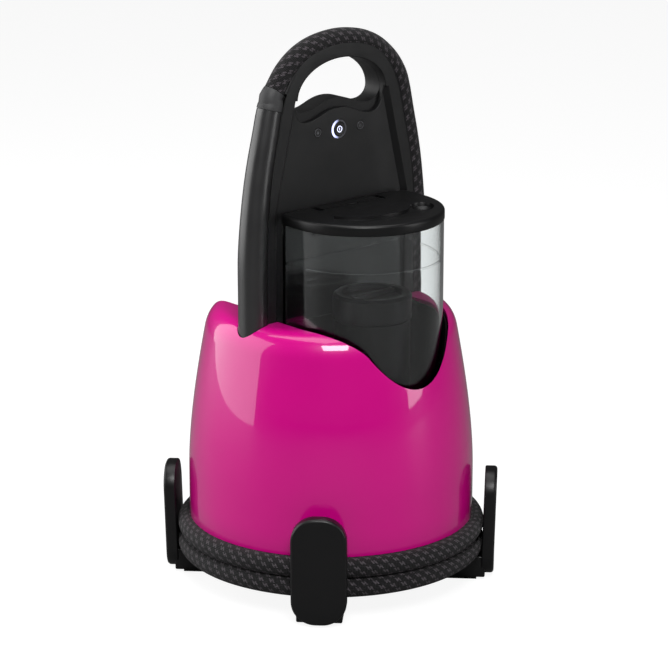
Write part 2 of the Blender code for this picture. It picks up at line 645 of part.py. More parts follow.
def build_column_rear():
    bm = prism_bmesh(column_outline(), PARTING_Y + GAP / 2, COLUMN_BACK_Y, "Y")
    bevel_edges(bm, lambda e: all(abs(v.co.y - COLUMN_BACK_Y) < 1e-6 and v.co.z > COLUMN_FOOT_Z + 1e-4
                                  for v in e.verts), 0.0035, 2)
    rear = finish("column_rear", bm, SOFT_BLACK, 0.5)
    grip = prism_bmesh(grip_outline(0.3620, 0.0300, 0.3690), PARTING_Y - 0.01, COLUMN_BACK_Y + 0.01, "Y")
    room = prism_bmesh([(-0.038, 0.300), (0.038, 0.300), (0.038, 0.3520), (-0.038, 0.3520)],
                       PARTING_Y - 0.005, COLUMN_BACK_Y - 0.0025, "Y")
    cut(rear, [grip, room] + groove_cutters())


def build_hose_leg():
    leg = leg_points()
    sleeve = finish("hose_leg", tube_bmesh(leg, leg_radii(len(leg)), 20), SATIN_BLACK, 0.35)
    ends = [leg[0] - Vector((0, 0, 0.01))] + leg[1:-1] + [leg[-1] + (leg[-1] - leg[-2]).normalized() * 0.01]
    cut(sleeve, [tube_bmesh(ends, [0.0042] * len(ends), 8)])


def collar_points(reach=0.0):
    """The collar's bent centre line, from the top of the leg to the hose."""
    low, lean = leg_top()
    high, after = smooth_route(run_route(), HOSE_STEP)[:2]
    out = (after - high).normalized()
    return [low + lean * (GAP - reach), low + lean * 0.005, high - out * 0.005, high - out * (2 * GAP - reach)]


def build_hose_collar():
    radii = [LEG_RADIUS_TOP + 0.0003 - 0.0005 * step for step in range(4)]
    finish("hose_collar", tube_bmesh(collar_points(), radii, 20), GREY, 0.5)


def build_power_button():
    face = PANEL_Y - 0.0006
    return finish("power_button", front_disc(0.0, BUTTON_RADIUS, face, PARTING_Y - 0.0007), SATIN_BLACK, 0.3)


def build_power_ring():
    y0, y1 = PANEL_Y - 0.0002, PARTING_Y - 0.0014
    bore = BUTTON_RADIUS + GAP
    ring = lathe_bmesh([(bore, y0), (RING_RADIUS, y0), (RING_RADIUS, y1), (bore, y1)], 20, closed=True)
    finish("power_ring", lay_along_y(ring, 0.0, BUTTON_Z), CLEAR, 0.3)


def build_lights():
    for name, x in (("water_light", -LIGHT_SPACING), ("filter_light", LIGHT_SPACING)):
        finish(name, front_disc(x, LIGHT_RADIUS, PANEL_Y - 0.0001, PARTING_Y - 0.0014, 12), GREY, 0.3)


def build_control_board():
    low, high = 0.3300, 0.3505
    bm = prism_bmesh(box_outline(0.030, low, high), PARTING_Y + 0.0012, PARTING_Y + 0.0028, "Y")
    finish("control_board", bm, BOARD, 0.6)


# ---------------------------------------------------------------- inside the body

def build_boiler():
    foot, top, radius = BOILER_FOOT_Z, BOILER_TOP_Z, BOILER_RADIUS
    profile = [(0.0, foot), (radius - 0.010, foot), (radius - 0.003, foot + 0.003), (radius, foot + 0.010),
               (radius, 0.060), (radius + 0.003, 0.061), (radius + 0.003, 0.064), (radius, 0.065),
               (radius, top - 0.010), (radius - 0.003, top - 0.003), (radius - 0.010, top), (0.0, top)]
    finish("boiler", lathe_bmesh(profile, 32, (0.0, BOILER_Y)), STEEL, 0.3, 1.0)


def build_boiler_bracket():
    low, top = DRUM_FLOOR_Z + DRUM_WALL + GAP, BOILER_FOOT_Z - GAP
    profile = [(0.034, low), (0.040, low), (0.037, top), (0.034, top)]
    finish("boiler_bracket", lathe_bmesh(profile, 24, (0.0, BOILER_Y), closed=True), STEEL, 0.4, 1.0)


def build_heating_element():
    low = BOILER_FOOT_Z - GAP - 0.007
    profile = [(0.020, low), (0.029, low), (0.030, low + 0.002), (0.030, low + 0.007), (0.020, low + 0.007)]
    finish("heating_element", lathe_bmesh(profile, 24, (0.0, BOILER_Y), closed=True), STEEL, 0.5, 1.0)


def build_boiler_fittings():
    top = BOILER_TOP_Z + GAP
    thermostat = [(0.0, top), (0.0085, top), (0.0085, top + 0.006), (0.006, top + 0.0075), (0.0, top + 0.0075)]
    finish("thermostat", lathe_bmesh(thermostat, 16, (0.020, BOILER_Y)), STEEL, 0.4, 1.0)
    safety = [(0.0, top), (0.006, top), (0.006, top + 0.006), (0.004, top + 0.007), (0.004, top + 0.015), (0.0, top + 0.015)]
    finish("safety_valve", lathe_bmesh(safety, 6, (0.0, BOILER_Y + 0.024)), BRASS, 0.35, 1.0)
    coil = [(0.0, top), (0.005, top), (0.005, top + 0.003), (0.011, top + 0.003), (0.011, top + 0.019),
            (0.0, top + 0.019)]
    finish("steam_valve", lathe_bmesh(coil, 16, (-0.022, BOILER_Y + 0.006)), BRASS, 0.4, 1.0)


def build_water_pump():
    low = DRUM_FLOOR_Z + DRUM_WALL + GAP
    bm = prism_bmesh([(-0.072, 0.030), (-0.036, 0.030), (-0.036, 0.060), (-0.072, 0.060)], low, low + 0.034, "Z")
    bevel_edges(bm, lambda e: abs(e.verts[0].co.z - e.verts[1].co.z) > 0.01, 0.004, 2)
    finish("water_pump", bm, GREY, 0.5)


def build_power_board():
    low = DRUM_FLOOR_Z + DRUM_WALL + GAP
    finish("power_board", prism_bmesh(box_outline(0.022, low, low + 0.042), 0.0660, 0.0676, "Y"), BOARD, 0.6)


def internal_tube(name, route, radius, colour):
    """A bent tube whose first and last stretches are straight."""
    points = [Vector(route[0])] + smooth_route(route[1:-1], 0.010) + [Vector(route[-1])]
    finish(name, tube_bmesh(points, [radius] * len(points), 8), colour, 0.5)


def build_suction_tube():
    socket_z = WELL_FLOOR_Z - 0.015 - 2 * GAP
    pump_z = DRUM_FLOOR_Z + DRUM_WALL + 2 * GAP + 0.034
    route = [(0.0, VALVE_Y, socket_z), (0.0, VALVE_Y, socket_z - 0.004), (-0.010, VALVE_Y - 0.006, 0.1035),
             (-0.034, -0.066, 0.1030), (-0.058, -0.045, 0.0970), (-0.071, -0.015, 0.0860), (-0.071, 0.012, 0.0760),
             (-0.064, 0.036, 0.0670), (-0.062, 0.045, pump_z + 0.004), (-0.062, 0.045, pump_z)]
    internal_tube("suction_tube", route, 0.0030, SILICONE)


def build_feed_tube():
    boiler_side = BOILER_Y + BOILER_RADIUS + 2 * GAP
    route = [(-0.0357, 0.045, 0.040), (-0.028, 0.045, 0.040), (-0.015, 0.044, 0.043), (-0.004, 0.036, 0.048),
             (0.0, 0.022, 0.052), (0.0, boiler_side + 0.005, 0.0525), (0.0, boiler_side, 0.0525)]
    internal_tube("feed_tube", route, 0.0025, SILICONE)


def build_steam_tube():
    """From the steam valve into the left leg and up through it."""
    side, y, z = -0.033 - 2 * GAP, BOILER_Y + 0.006, 0.1100
    bore = [tuple(point) for point in leg_points() if point.z < LEG_TOP_Z - 0.008]
    route = [(side, y, z), (side - 0.005, y, z), (-0.050, -0.030, 0.1110), (-0.066, -0.018, 0.1140),
             (-0.0765, -0.009, 0.1200)] + bore
    internal_tube("steam_tube", route, 0.0030, SILICONE)


def build_drain_cap():
    top = DRUM_FLOOR_Z - GAP
    profile = [(0.0, top - 0.0105), (0.0105, top - 0.0105), (0.0115, top - 0.0095), (0.0115, top), (0.0058, top),
               (0.0058, top + 0.010), (0.0, top + 0.010)]
    return finish("drain_cap", lathe_bmesh(profile, 20, (0.0, BOILER_Y)), GREY, 0.5)


# ---------------------------------------------------------------- dock and steam head

def build_head_dock():
    half = DOCK_HALF_WIDTH - 2 * GAP
    front = COLUMN_BACK_Y + GAP
    low = SHELL_FOOT_Z + 0.0133
    dock = finish("head_dock", prism_bmesh([(-half, front), (half, front), (half, 0.13), (-half, 0.13)], low,
                                           SHELL_TOP_Z + 0.01, "Z"), SOFT_BLACK, 0.5)
    cut(dock, [dome_bmesh()], "INTERSECT")
    inner = half - DOCK_WALL
    upper = prism_bmesh([(-inner, front + DOCK_WALL), (inner, front + DOCK_WALL), (inner, 0.14), (-inner, 0.14)],
                        DOCK_FLOOR_Z, SHELL_TOP_Z + 0.02, "Z")
    lower = prism_bmesh([(-inner, -0.01), (inner, -0.01), (inner, 0.030), (half + 0.01, 0.030), (half + 0.01, 0.14),
                         (-0.006, 0.14), (-0.006, 0.097), (-inner, 0.097)], low - 0.01, DOCK_FLOOR_Z - 0.003, "Z")
    inlet = lathe_bmesh([(0, 0.08), (0.0072, 0.08), (0.0072, 0.13), (0, 0.13)], 16)
    notch_y = HANDLE_TIP[1] - 0.006
    notch = prism_bmesh([(-0.0125, notch_y), (0.0125, notch_y), (0.0125, 0.14), (-0.0125, 0.14)],
                        DOCK_FLOOR_Z - 0.006, DOCK_FLOOR_Z + 0.006, "Z")
    cut(dock, [upper, lower, notch, lay_along_y(inlet, GLAND_X, GLAND_Z)])


def build_mains_gland():
    end = BODY_RADIUS
    profile = [(0.0, 0.0880), (0.0069, 0.0880), (0.0069, end - 0.005), (0.0058, end), (0.0, end)]
    finish("mains_gland", lay_along_y(lathe_bmesh(profile, 16), GLAND_X, GLAND_Z), RUBBER, 0.8)


def sole_outline(shrink=0.0):
    """An iron's outline, its heel down and its tip up."""
    half = SOLE_HALF_WIDTH - shrink
    heel, tip = SOLE_HEEL_Z + shrink, SOLE_TIP_Z - 2 * shrink
    right = [(half - 0.010, heel)] + [(half - 0.010 + 0.010 * math.sin(a), heel + 0.010 - 0.010 * math.cos(a))
                                      for a in (math.pi / 6, math.pi / 3, math.pi / 2)]
    right += bezier(right[-1], (half, heel + 0.085), (0.016, tip - 0.022), (0.0, tip), 9)
    return right + [(-x, z) for x, z in reversed(right[:-1])]


def build_soleplate():
    bm = prism_bmesh(sole_outline(), SOLE_Y, SOLE_Y + SOLE_THICKNESS, "Y")
    return finish("soleplate", bm, STEEL, 0.25, 1.0)


def build_head_body():
    y0 = SOLE_Y + SOLE_THICKNESS + GAP
    bm = bmesh.new()
    rings = []
    for share, shrink in ((0.0, 0.001), (0.45, 0.003), (0.85, 0.009), (1.0, 0.014)):
        rings.append([bm.verts.new((x, y0 + share * HEAD_DEPTH, z)) for x, z in sole_outline(shrink)])
    for a, b in zip(rings, rings[1:]):
        for k in range(len(a)):
            n = (k + 1) % len(a)
            bm.faces.new((a[k], a[n], b[n], b[k]))
    bm.faces.new(list(reversed(rings[0])))
    bm.faces.new(rings[-1])
    return finish("head_body", bm, SATIN_BLACK, 0.35)


def build_head_handle():
    """A grip that stands off the head's back on two arms; the hose goes into its lower tip."""
    root_y = SOLE_Y + SOLE_THICKNESS + HEAD_DEPTH + 2 * GAP
    tip, low = Vector(HANDLE_TIP), Vector(HANDLE_TIP) - 0.007 * boot_direction()
    route = [low, (0, 0.0872, 0.1340), (0, 0.0858, 0.1500), (0, 0.0845, 0.1750), (0, 0.0835, 0.2000),
             (0, 0.0790, 0.2230), (0, 0.0700, 0.2400), (0, root_y + 0.006, 0.2470)]
    points = [tip] + smooth_route(route, 0.011) + [Vector((0, root_y, 0.2470))]
    last = len(points) - 1
    radii = [HANDLE_RADIUS * (0.93 + 0.07 * math.sin(math.pi * i / last)) for i in range(last + 1)]
    handle = finish("head_handle", tube_bmesh(points, radii, 14), SOFT_BLACK, 0.6)
    arm = tube_bmesh([(0, root_y, 0.1290), (0, 0.0640, 0.1290), (0, 0.0870, 0.1340)], [0.0115, 0.0100, 0.0095], 12)
    cut(handle, [arm], "UNION")
    half, low, high = 0.0065 + GAP, TRIGGER_LOW_Z - GAP, TRIGGER_HIGH_Z + GAP
    deep = TRIGGER_Y + TRIGGER_DEPTH + TRIGGER_TRAVEL + 2 * GAP
    pocket = prism_bmesh([(-half, low), (half, low), (half, high), (-half, high)], TRIGGER_Y - 0.01, deep, "Y")
    return cut(handle, [pocket])


def build_steam_trigger():
    outline = box_outline(0.0065, TRIGGER_LOW_Z, TRIGGER_HIGH_Z)
    bm = prism_bmesh(outline, TRIGGER_Y, TRIGGER_Y + TRIGGER_DEPTH, "Y")
    bevel_edges(bm, lambda e: all(abs(v.co.y - TRIGGER_Y) < 1e-6 for v in e.verts), 0.0015, 1)
    return finish("steam_trigger", bm, GREY, 0.5)


def build_head_heel():
    bm = prism_bmesh([(-0.030, SOLE_Y + 0.004), (0.030, SOLE_Y + 0.004), (0.026, 0.050), (-0.026, 0.050)],
                     DOCK_FLOOR_Z + GAP, SOLE_HEEL_Z - GAP, "Z")
    return finish("head_heel", bm, RUBBER, 0.8)


def boot_direction():
    return (Vector(TAIL_ROUTE[-1]) - Vector(HANDLE_TIP)).normalized()


def build_hose_boot():
    start = Vector(HANDLE_TIP) + GAP * boot_direction()
    end = Vector(TAIL_ROUTE[-1]) - GAP * boot_direction()
    points = [start.lerp(end, share) for share in (0.0, 0.35, 0.7, 1.0)]
    return finish("hose_boot", tube_bmesh(points, [0.0110, 0.0103, 0.0096, 0.0090], 12), RUBBER, 0.7)


# ---------------------------------------------------------------- hose

def hose_curve(name, route):
    points = smooth_route(route, HOSE_STEP)
    curve = bpy.data.curves.new(name, "CURVE")
    curve.dimensions = "3D"
    curve.bevel_depth = HOSE_RADIUS
    curve.bevel_resolution = 2
    curve.use_fill_caps = True
    spline = curve.splines.new("POLY")
    spline.points.add(len(points) - 1)
    for place, point in zip(spline.points, points):
        place.co = (*point, 1.0)
    curve.materials.append(material(name, SATIN_BLACK, 0.7, 0.0))
    obj = bpy.data.objects.new(name, curve)
    bpy.context.scene.collection.objects.link(obj)


def build_hose():
    hose_curve("hose_run", run_route())
    hose_curve("hose_tail", TAIL_ROUTE)
    outer, inner = WIND_RADIUS + HOSE_RADIUS, WIND_RADIUS - HOSE_RADIUS
    low, high = LOW_TURN_Z - HOSE_RADIUS, HIGH_TURN_Z + HOSE_RADIUS - GAP
    profile = [(inner, low), (outer, low), (outer, high), (inner, high)]
    finish("hose_winding", lathe_bmesh(profile, 48, closed=True), SATIN_BLACK, 0.7)


def build_root():
    build_outer_shell()
    build_base_pan()
    build_base_screws()
    build_hooks()
    build_tank_well()
    build_valve_socket()
    build_column_front()
    build_column_rear()
    build_hose_leg()
    build_hose_collar()
    build_power_ring()
    build_lights()
    build_control_board()
    build_boiler()
    build_boiler_bracket()
    build_heating_element()
    build_boiler_fittings()
    build_water_pump()
    build_power_board()
    build_suction_tube()
    build_feed_tube()
    build_steam_tube()
    build_head_dock()
    build_mains_gland()
    build_hose()


def build_moving_pieces():
    tank = pivot("tank_lift", (0.0, TANK_CENTRE_Y, TANK_FLOOR_Z))
    hang(tank, build_water_tank(), build_filter(), build_tank_valve(), build_lid_pin())
    lid = pivot("lid_turn", (0.0, LID_HINGE_Y, lid_axis_z()))
    hang(lid, build_tank_lid())
    button = pivot("button_press", (0.0, PANEL_Y, BUTTON_Z))
    hang(button, build_power_button())
    cap = pivot("cap_turn", (0.0, BOILER_Y, DRUM_FLOOR_Z))
    hang(cap, build_drain_cap())
    head = pivot("head_lift", (0.0, SOLE_Y, SOLE_HEEL_Z))
    hang(head, build_soleplate(), build_head_body(), build_head_handle(), build_head_heel(), build_hose_boot())
    trigger = pivot("trigger_press", (0.0, TRIGGER_Y, TRIGGER_LOW_Z))
    hang(trigger, build_steam_trigger())


clear_scene()
build_root()
build_moving_pieces()
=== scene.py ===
"""The looks of a carry-type steam generator for garments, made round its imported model."""

import math

import bpy
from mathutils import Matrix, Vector


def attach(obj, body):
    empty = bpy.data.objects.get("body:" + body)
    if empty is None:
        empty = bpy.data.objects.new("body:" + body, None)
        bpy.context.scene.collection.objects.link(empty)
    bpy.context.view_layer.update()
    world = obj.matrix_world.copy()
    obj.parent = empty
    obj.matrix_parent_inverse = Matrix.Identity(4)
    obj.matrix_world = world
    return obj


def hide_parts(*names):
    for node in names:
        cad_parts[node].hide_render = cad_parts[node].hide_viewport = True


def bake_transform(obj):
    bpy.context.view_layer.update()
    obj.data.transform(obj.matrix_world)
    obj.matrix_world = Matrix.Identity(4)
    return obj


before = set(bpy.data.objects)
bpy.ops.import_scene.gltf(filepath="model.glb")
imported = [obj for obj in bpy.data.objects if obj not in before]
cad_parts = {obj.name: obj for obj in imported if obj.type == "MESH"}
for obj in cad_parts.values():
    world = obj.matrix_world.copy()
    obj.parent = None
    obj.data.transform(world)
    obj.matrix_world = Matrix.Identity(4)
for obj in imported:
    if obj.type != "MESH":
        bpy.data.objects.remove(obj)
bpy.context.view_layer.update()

# Sizes of the machine, in metres.
BODY_RADIUS = 0.1078
SHELL_FOOT_Z = 0.0492
SHELL_TOP_Z = 0.2115
PANEL_Y = -0.0092
ROLL_Y = -0.0130
PARTING_Y = -0.0055
COLUMN_BACK_Y = 0.0105
COLUMN_FOOT_Z = 0.1280
BUTTON_Z = 0.3460
TANK_RADIUS = 0.0600
TANK_CENTRE_Y = -0.0350
TANK_BACK_Y = -0.0138
TANK_FLOOR_Z = 0.1300
LID_TOP_Z = 0.2923
LID_THICKNESS = 0.0075
LID_HINGE_Y = -0.0176
HOSE_RADIUS = 0.0075
HOSE_Y = -0.0055
WIND_RADIUS = 0.1092
LOW_TURN_Z = 0.0265
HIGH_TURN_Z = 0.0415

# The hose's centre line: over the arch, down into the body, and behind the body to the head.
ARCH_ROUTE = [
    (-0.0587, 0.3815), (-0.0490, 0.3945), (-0.0360, 0.4045), (-0.0200, 0.4105), (0.0, 0.4128),
    (0.0200, 0.4105), (0.0360, 0.4045), (0.0490, 0.3945), (0.0580, 0.3830), (0.0625, 0.3720),
    (0.0675, 0.3500), (0.0720, 0.3300), (0.0755, 0.3100), (0.0784, 0.2850), (0.0800, 0.2600),
    (0.0800, 0.2300),
]
INNER_ROUTE = [
    (0.0800, -0.0050, 0.2050), (0.0795, 0.0080, 0.1750), (0.0775, 0.0270, 0.1400),
    (0.0735, 0.0480, 0.1090), (0.0640, 0.0670, 0.0850), (0.0480, 0.0850, 0.0680),
    (0.0310, 0.0975, 0.0600), (0.0140, 0.1055, 0.0573),
]
TAIL_ROUTE = [
    (0.1166, 0.0445, 0.0262), (0.1181, 0.0560, 0.0245), (0.1182, 0.0690, 0.0208),
    (0.1148, 0.0870, 0.0150), (0.1050, 0.1065, 0.0102), (0.0880, 0.1220, 0.0080),
    (0.0660, 0.1315, 0.0080), (0.0440, 0.1352, 0.0108), (0.0250, 0.1360, 0.0190),
    (0.0110, 0.1357, 0.0315), (0.0030, 0.1343, 0.0465), (0.0003, 0.1302, 0.0620),
    (0.0, 0.1239, 0.0742), (0.0, 0.1182, 0.0824), (0.0, 0.1137, 0.0890),
]
HANDLE_TIP = (0.0, 0.0965, 0.1140)


# ---------------------------------------------------------------- lines

def bezier(start, near_start, near_end, end, steps):
    """Points along a cubic curve, without its first point."""
    points = []
    for i in range(1, steps + 1):
        t = i / steps
        weights = ((1 - t) ** 3, 3 * t * (1 - t) ** 2, 3 * t * t * (1 - t), t**3)
        corners = (start, near_start, near_end, end)
        points.append(tuple(sum(w * c[k] for w, c in zip(weights, corners)) for k in range(len(start))))
    return points


def arc(centre, radius, start_degrees, end_degrees, steps):
    points = []
    for i in range(steps + 1):
        angle = math.radians(start_degrees + (end_degrees - start_degrees) * i / steps)
        points.append((centre[0] + radius * math.cos(angle), centre[1] + radius * math.sin(angle)))
    return points


def smooth_route(route, spacing):
    """Evenly spaced points on a smooth curve through the route's own points."""
    points = [Vector(p) for p in route]
    ends = [2 * points[0] - points[1]] + points + [2 * points[-1] - points[-2]]
    fine = [points[0]]
    for a, b, c, d in zip(ends, ends[1:], ends[2:], ends[3:]):
        for i in range(1, 13):
            t = i / 12
            fine.append(0.5 * (2 * b + (c - a) * t + (2 * a - 5 * b + 4 * c - d) * t * t
                               + (3 * b - a - 3 * c + d) * t**3))
    reach = [0.0]
    for p, q in zip(fine, fine[1:]):
        reach.append(reach[-1] + (q - p).length)
    count = max(2, round(reach[-1] / spacing))
    even = []
    k = 0
    for i in range(count + 1):
        target = reach[-1] * i / count
        while k < len(fine) - 2 and reach[k + 1] < target:
            k += 1
        share = (target - reach[k]) / max(reach[k + 1] - reach[k], 1e-9)
        even.append(fine[k].lerp(fine[k + 1], min(share, 1.0)))
    return even


def ease(share):
    share = min(max(share, 0.0), 1.0)
    return share * share * (3 - 2 * share)


def run_route():
    return [(x, HOSE_Y, z) for x, z in ARCH_ROUTE] + INNER_ROUTE


def winding_route():
    """From the foot of the run, down onto the upper turn, and once more round below it."""
    points = []
    for degrees in range(92, 713, 10):
        level = 0.0573 - (0.0573 - HIGH_TURN_Z) * ease((degrees - 82) / 37)
        level -= (HIGH_TURN_Z - LOW_TURN_Z) * ease((degrees - 365) / 60)
        radius = 0.1064 + (WIND_RADIUS - 0.1064) * ease((degrees - 82) / 30)
        turn = math.radians(degrees)
        points.append((radius * math.cos(turn), radius * math.sin(turn), level))
    return points


def tank_outline(radius, centre_y, back_y, corner=0.003, steps=72):
    """A D in plan: half round in front, straight sides, and a flat back with round corners."""
    left = arc((-(radius - corner), back_y - corner), corner, 90, 180, 8)
    front = arc((0.0, centre_y), radius, 180, 360, steps)
    right = arc((radius - corner, back_y - corner), corner, 0, 90, 8)
    return left + front + right


def shell_profile(foot_z):
    """The outer side of the shell, from its foot to the edge of its flat top."""
    wall = [(BODY_RADIUS, foot_z), (BODY_RADIUS, 0.067), (BODY_RADIUS, 0.085)]
    wall += bezier(wall[-1], (BODY_RADIUS, 0.125), (0.0985, 0.174), (0.0945, 0.1955), 22)
    wall += bezier(wall[-1], (0.0925, 0.2045), (0.0875, SHELL_TOP_Z), (0.0775, SHELL_TOP_Z), 14)
    return wall


def moved_in(wall, inset):
    points = []
    for i, (r, z) in enumerate(wall):
        before, after = wall[max(i - 1, 0)], wall[min(i + 1, len(wall) - 1)]
        along = Vector((after[0] - before[0], after[1] - before[1])).normalized()
        points.append((r - inset * along.y, z + (inset * along.x if i else 0.0)))
    return points


def column_outline():
    half = [(0.0752, COLUMN_FOOT_Z), (0.0752, 0.250)]
    half += bezier(half[-1], (0.0752, 0.288), (0.0722, 0.318), (0.0630, 0.350), 14)
    half += bezier(half[-1], (0.0560, 0.3900), (0.0420, 0.4128), (0.0, 0.4128), 26)
    return half + [(-x, z) for x, z in reversed(half[:-1])]


def grip_outline(low_z, low_x, crest_z):
    """The finger opening: an arch above a wavy lower edge."""
    ring = [(0.0425 * math.cos(math.pi * i / 40), 0.3720 + 0.0277 * math.sin(math.pi * i / 40)) for i in range(41)]
    corner, dip, crest = (0.0425, 0.3720), (low_x, low_z), (0.0, crest_z)
    right = bezier(corner, (0.0425, low_z + 0.005), (low_x + 0.008, low_z), dip, 12)
    right += bezier(dip, (low_x - 0.011, low_z), (0.014, crest_z), crest, 14)
    ring += [(-x, z) for x, z in right[:-1]]
    return ring + list(reversed(right))


def leg_points():
    """The centre of the left leg, from its foot up to the collar."""
    top, lean = Vector((-0.0634, HOSE_Y, 0.3680)), Vector((0.27, 0.0, 1.0)).normalized()
    low = [(-0.0800, HOSE_Y, COLUMN_FOOT_Z), (-0.0800, HOSE_Y, 0.1900)]
    high = [(-x, HOSE_Y, z) for x, z in reversed(ARCH_ROUTE) if x > 0 and z < 0.3530]
    return smooth_route(low + high + [top - 0.006 * lean], 0.008) + [top]


def leg_radii(count, extra=0.0):
    return [0.0108 - 0.0017 * max(0.0, 2.2 * i / (count - 1) - 1.2) + extra for i in range(count)]


def collar_points(reach=0.0):
    low, lean = Vector((-0.0634, HOSE_Y, 0.3680)), Vector((0.27, 0.0, 1.0)).normalized()
    high, after = smooth_route(run_route(), 0.014)[:2]
    out = (after - high).normalized()
    start, end = low + lean * (0.0003 - reach), high - out * (0.0006 - reach)
    return [start] + smooth_route([low + lean * 0.0035, low + lean * 0.006, high - out * 0.006, high - out * 0.0035],
                                  0.002) + [end]


# ---------------------------------------------------------------- making pieces

def bare():
    """Object mode with nothing selected."""
    if bpy.context.object and bpy.context.object.mode != "OBJECT":
        bpy.ops.object.mode_set(mode="OBJECT")
    bpy.ops.object.select_all(action="DESELECT")


def only(obj):
    bare()
    obj.select_set(True)
    bpy.context.view_layer.objects.active = obj


def edit(obj):
    only(obj)
    bpy.ops.object.mode_set(mode="EDIT")
    bpy.ops.mesh.select_all(action="SELECT")


def apply(obj, kind, **settings):
    """Adds a modifier, sets it and applies it."""
    only(obj)
    bpy.ops.object.modifier_add(type=kind)
    for name, value in settings.items():
        setattr(obj.modifiers[-1], name, value)
    bpy.ops.object.modifier_apply(modifier=obj.modifiers[-1].name)
    return obj


def plate(name, outline, low, high, axis="Z"):
    """An outline laid out from a filled ring, then extruded along an axis."""
    bare()
    bpy.ops.mesh.primitive_circle_add(vertices=len(outline), radius=0.1, fill_type="NGON")
    obj = bpy.context.object
    obj.name = name
    for vert, (a, b) in zip(obj.data.vertices, outline):
        vert.co = {"X": (low, a, b), "Y": (a, low, b), "Z": (a, b, low)}[axis]
    edit(obj)
    push = tuple(high - low if axis == letter else 0.0 for letter in "XYZ")
    bpy.ops.mesh.extrude_region_move(TRANSFORM_OT_translate={"value": push})
    bpy.ops.mesh.select_all(action="SELECT")
    bpy.ops.mesh.normals_make_consistent(inside=False)
    bare()
    return obj


def turned(name, section, steps=96, centre=(0.0, 0.0)):
    """A ring laid out as a cross-section, then spun about an upright axis."""
    bare()
    bpy.ops.mesh.primitive_circle_add(vertices=len(section), radius=0.1, fill_type="NOTHING")
    obj = bpy.context.object
    obj.name = name
    for vert, (r, z) in zip(obj.data.vertices, section):
        vert.co = (centre[0] + r, centre[1], z)
    edit(obj)
    bpy.ops.mesh.spin(steps=steps, angle=math.tau, center=(centre[0], centre[1], 0), axis=(0, 0, 1))
    bpy.ops.mesh.select_all(action="SELECT")
    bpy.ops.mesh.remove_doubles(threshold=0.000002)
    bpy.ops.mesh.delete_loose()
    bpy.ops.mesh.select_all(action="SELECT")
    bpy.ops.mesh.normals_make_consistent(inside=False)
    bare()
    return obj


def lay_along_y(obj, x, z):
    """Turns a piece made upright so that its heights run along +Y, with its axis at x, z."""
    for vert in obj.data.vertices:
        a, b, c = vert.co
        vert.co = (a + x, c, -b + z)
    return obj


def rod(name, points, radii, sides=32):
    """A round bar along a line, its thickness set point by point."""
    bare()
    curve = bpy.data.curves.new(name, "CURVE")
    curve.dimensions = "3D"
    curve.bevel_depth = 1.0
    curve.bevel_resolution = sides // 2 - 2
    curve.use_fill_caps = True
    spline = curve.splines.new("POLY")
    spline.points.add(len(points) - 1)
    for place, point, radius in zip(spline.points, points, radii):
        place.co = (*point, 1.0)
        place.radius = radius
    obj = bpy.data.objects.new(name, curve)
    bpy.context.scene.collection.objects.link(obj)
    only(obj)
    bpy.ops.object.convert(target="MESH")
    obj = bpy.context.object
    edit(obj)
    bpy.ops.mesh.remove_doubles(threshold=0.000002)
    bpy.ops.mesh.normals_make_consistent(inside=False)
    bare()
    return obj


def carve(obj, *cutters, operation="DIFFERENCE"):
    for cutter in cutters:
        apply(obj, "BOOLEAN", operation=operation, solver="EXACT", object=cutter)
        bpy.data.objects.remove(cutter, do_unlink=True)
    return obj


def soften(obj, width, segments=3, degrees=40, clamp=True):
    """Rounds the edges that are sharper than the angle, and shades the rest smoothly."""
    apply(obj, "BEVEL", width=width, segments=segments, limit_method="ANGLE", angle_limit=math.radians(degrees),
          use_clamp_overlap=clamp, harden_normals=False)
    return shade(obj)


def shade(obj, degrees=32):
    only(obj)
    bpy.ops.object.shade_smooth_by_angle(angle=math.radians(degrees))
    bare()
    return obj


def bevel_where(obj, chosen, width, segments):
    """Rounds the edges whose ends and middle pass a test."""
    edit(obj)
    bpy.ops.mesh.select_mode(type="EDGE")
    bpy.ops.mesh.select_all(action="DESELECT")
    bare()
    verts = obj.data.vertices
    for edge in obj.data.edges:
        a, b = verts[edge.vertices[0]].co, verts[edge.vertices[1]].co
        edge.select = chosen(a, b)
    only(obj)
    bpy.ops.object.mode_set(mode="EDIT")
    bpy.ops.mesh.bevel(offset=width, segments=segments, affect="EDGES", clamp_overlap=True)
    bare()
    return obj


def place(obj, body, material, *nodes):
    """Gives a piece its finish and its body, and hides the CAD nodes it stands for."""
    obj.data.materials.clear()
    obj.data.materials.append(material)
    if body:
        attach(obj, body)
    if nodes:
        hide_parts(*nodes)
    return obj


def dress(material, *nodes):
    """Gives CAD nodes that stay a better finish."""
    for name in nodes:
        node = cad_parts[name]
        for slot in node.material_slots:
            slot.material = material


# ---------------------------------------------------------------- finishes

def shade_of(colour):
    """A linear colour from sRGB hex."""
    parts = [int(colour[i:i + 2], 16) / 255 for i in (1, 3, 5)]
    return (*(c / 12.92 if c <= 0.04045 else ((c + 0.055) / 1.055) ** 2.4 for c in parts), 1.0)


def add(tree, kind, settings=(), links=()):
    """Adds a node with its settings and its links."""
    node = tree.nodes.new(kind)
    for name, value in dict(settings).items():
        if isinstance(name, int) or name in node.inputs:
            node.inputs[name].default_value = value
        else:
            setattr(node, name, value)
    for name, socket in dict(links).items():
        tree.links.new(socket, node.inputs[name])
    return node


def finish(name, colour, roughness, **sockets):
    material = bpy.data.materials.new(name)
    material.use_nodes = True
    tree = material.node_tree
    shader = tree.nodes["Principled BSDF"]
    shader.inputs["Base Color"].default_value = shade_of(colour)
    shader.inputs["Roughness"].default_value = roughness
    for key, value in sockets.items():
        shader.inputs[key.replace("_", " ")].default_value = value
    return material, tree, shader


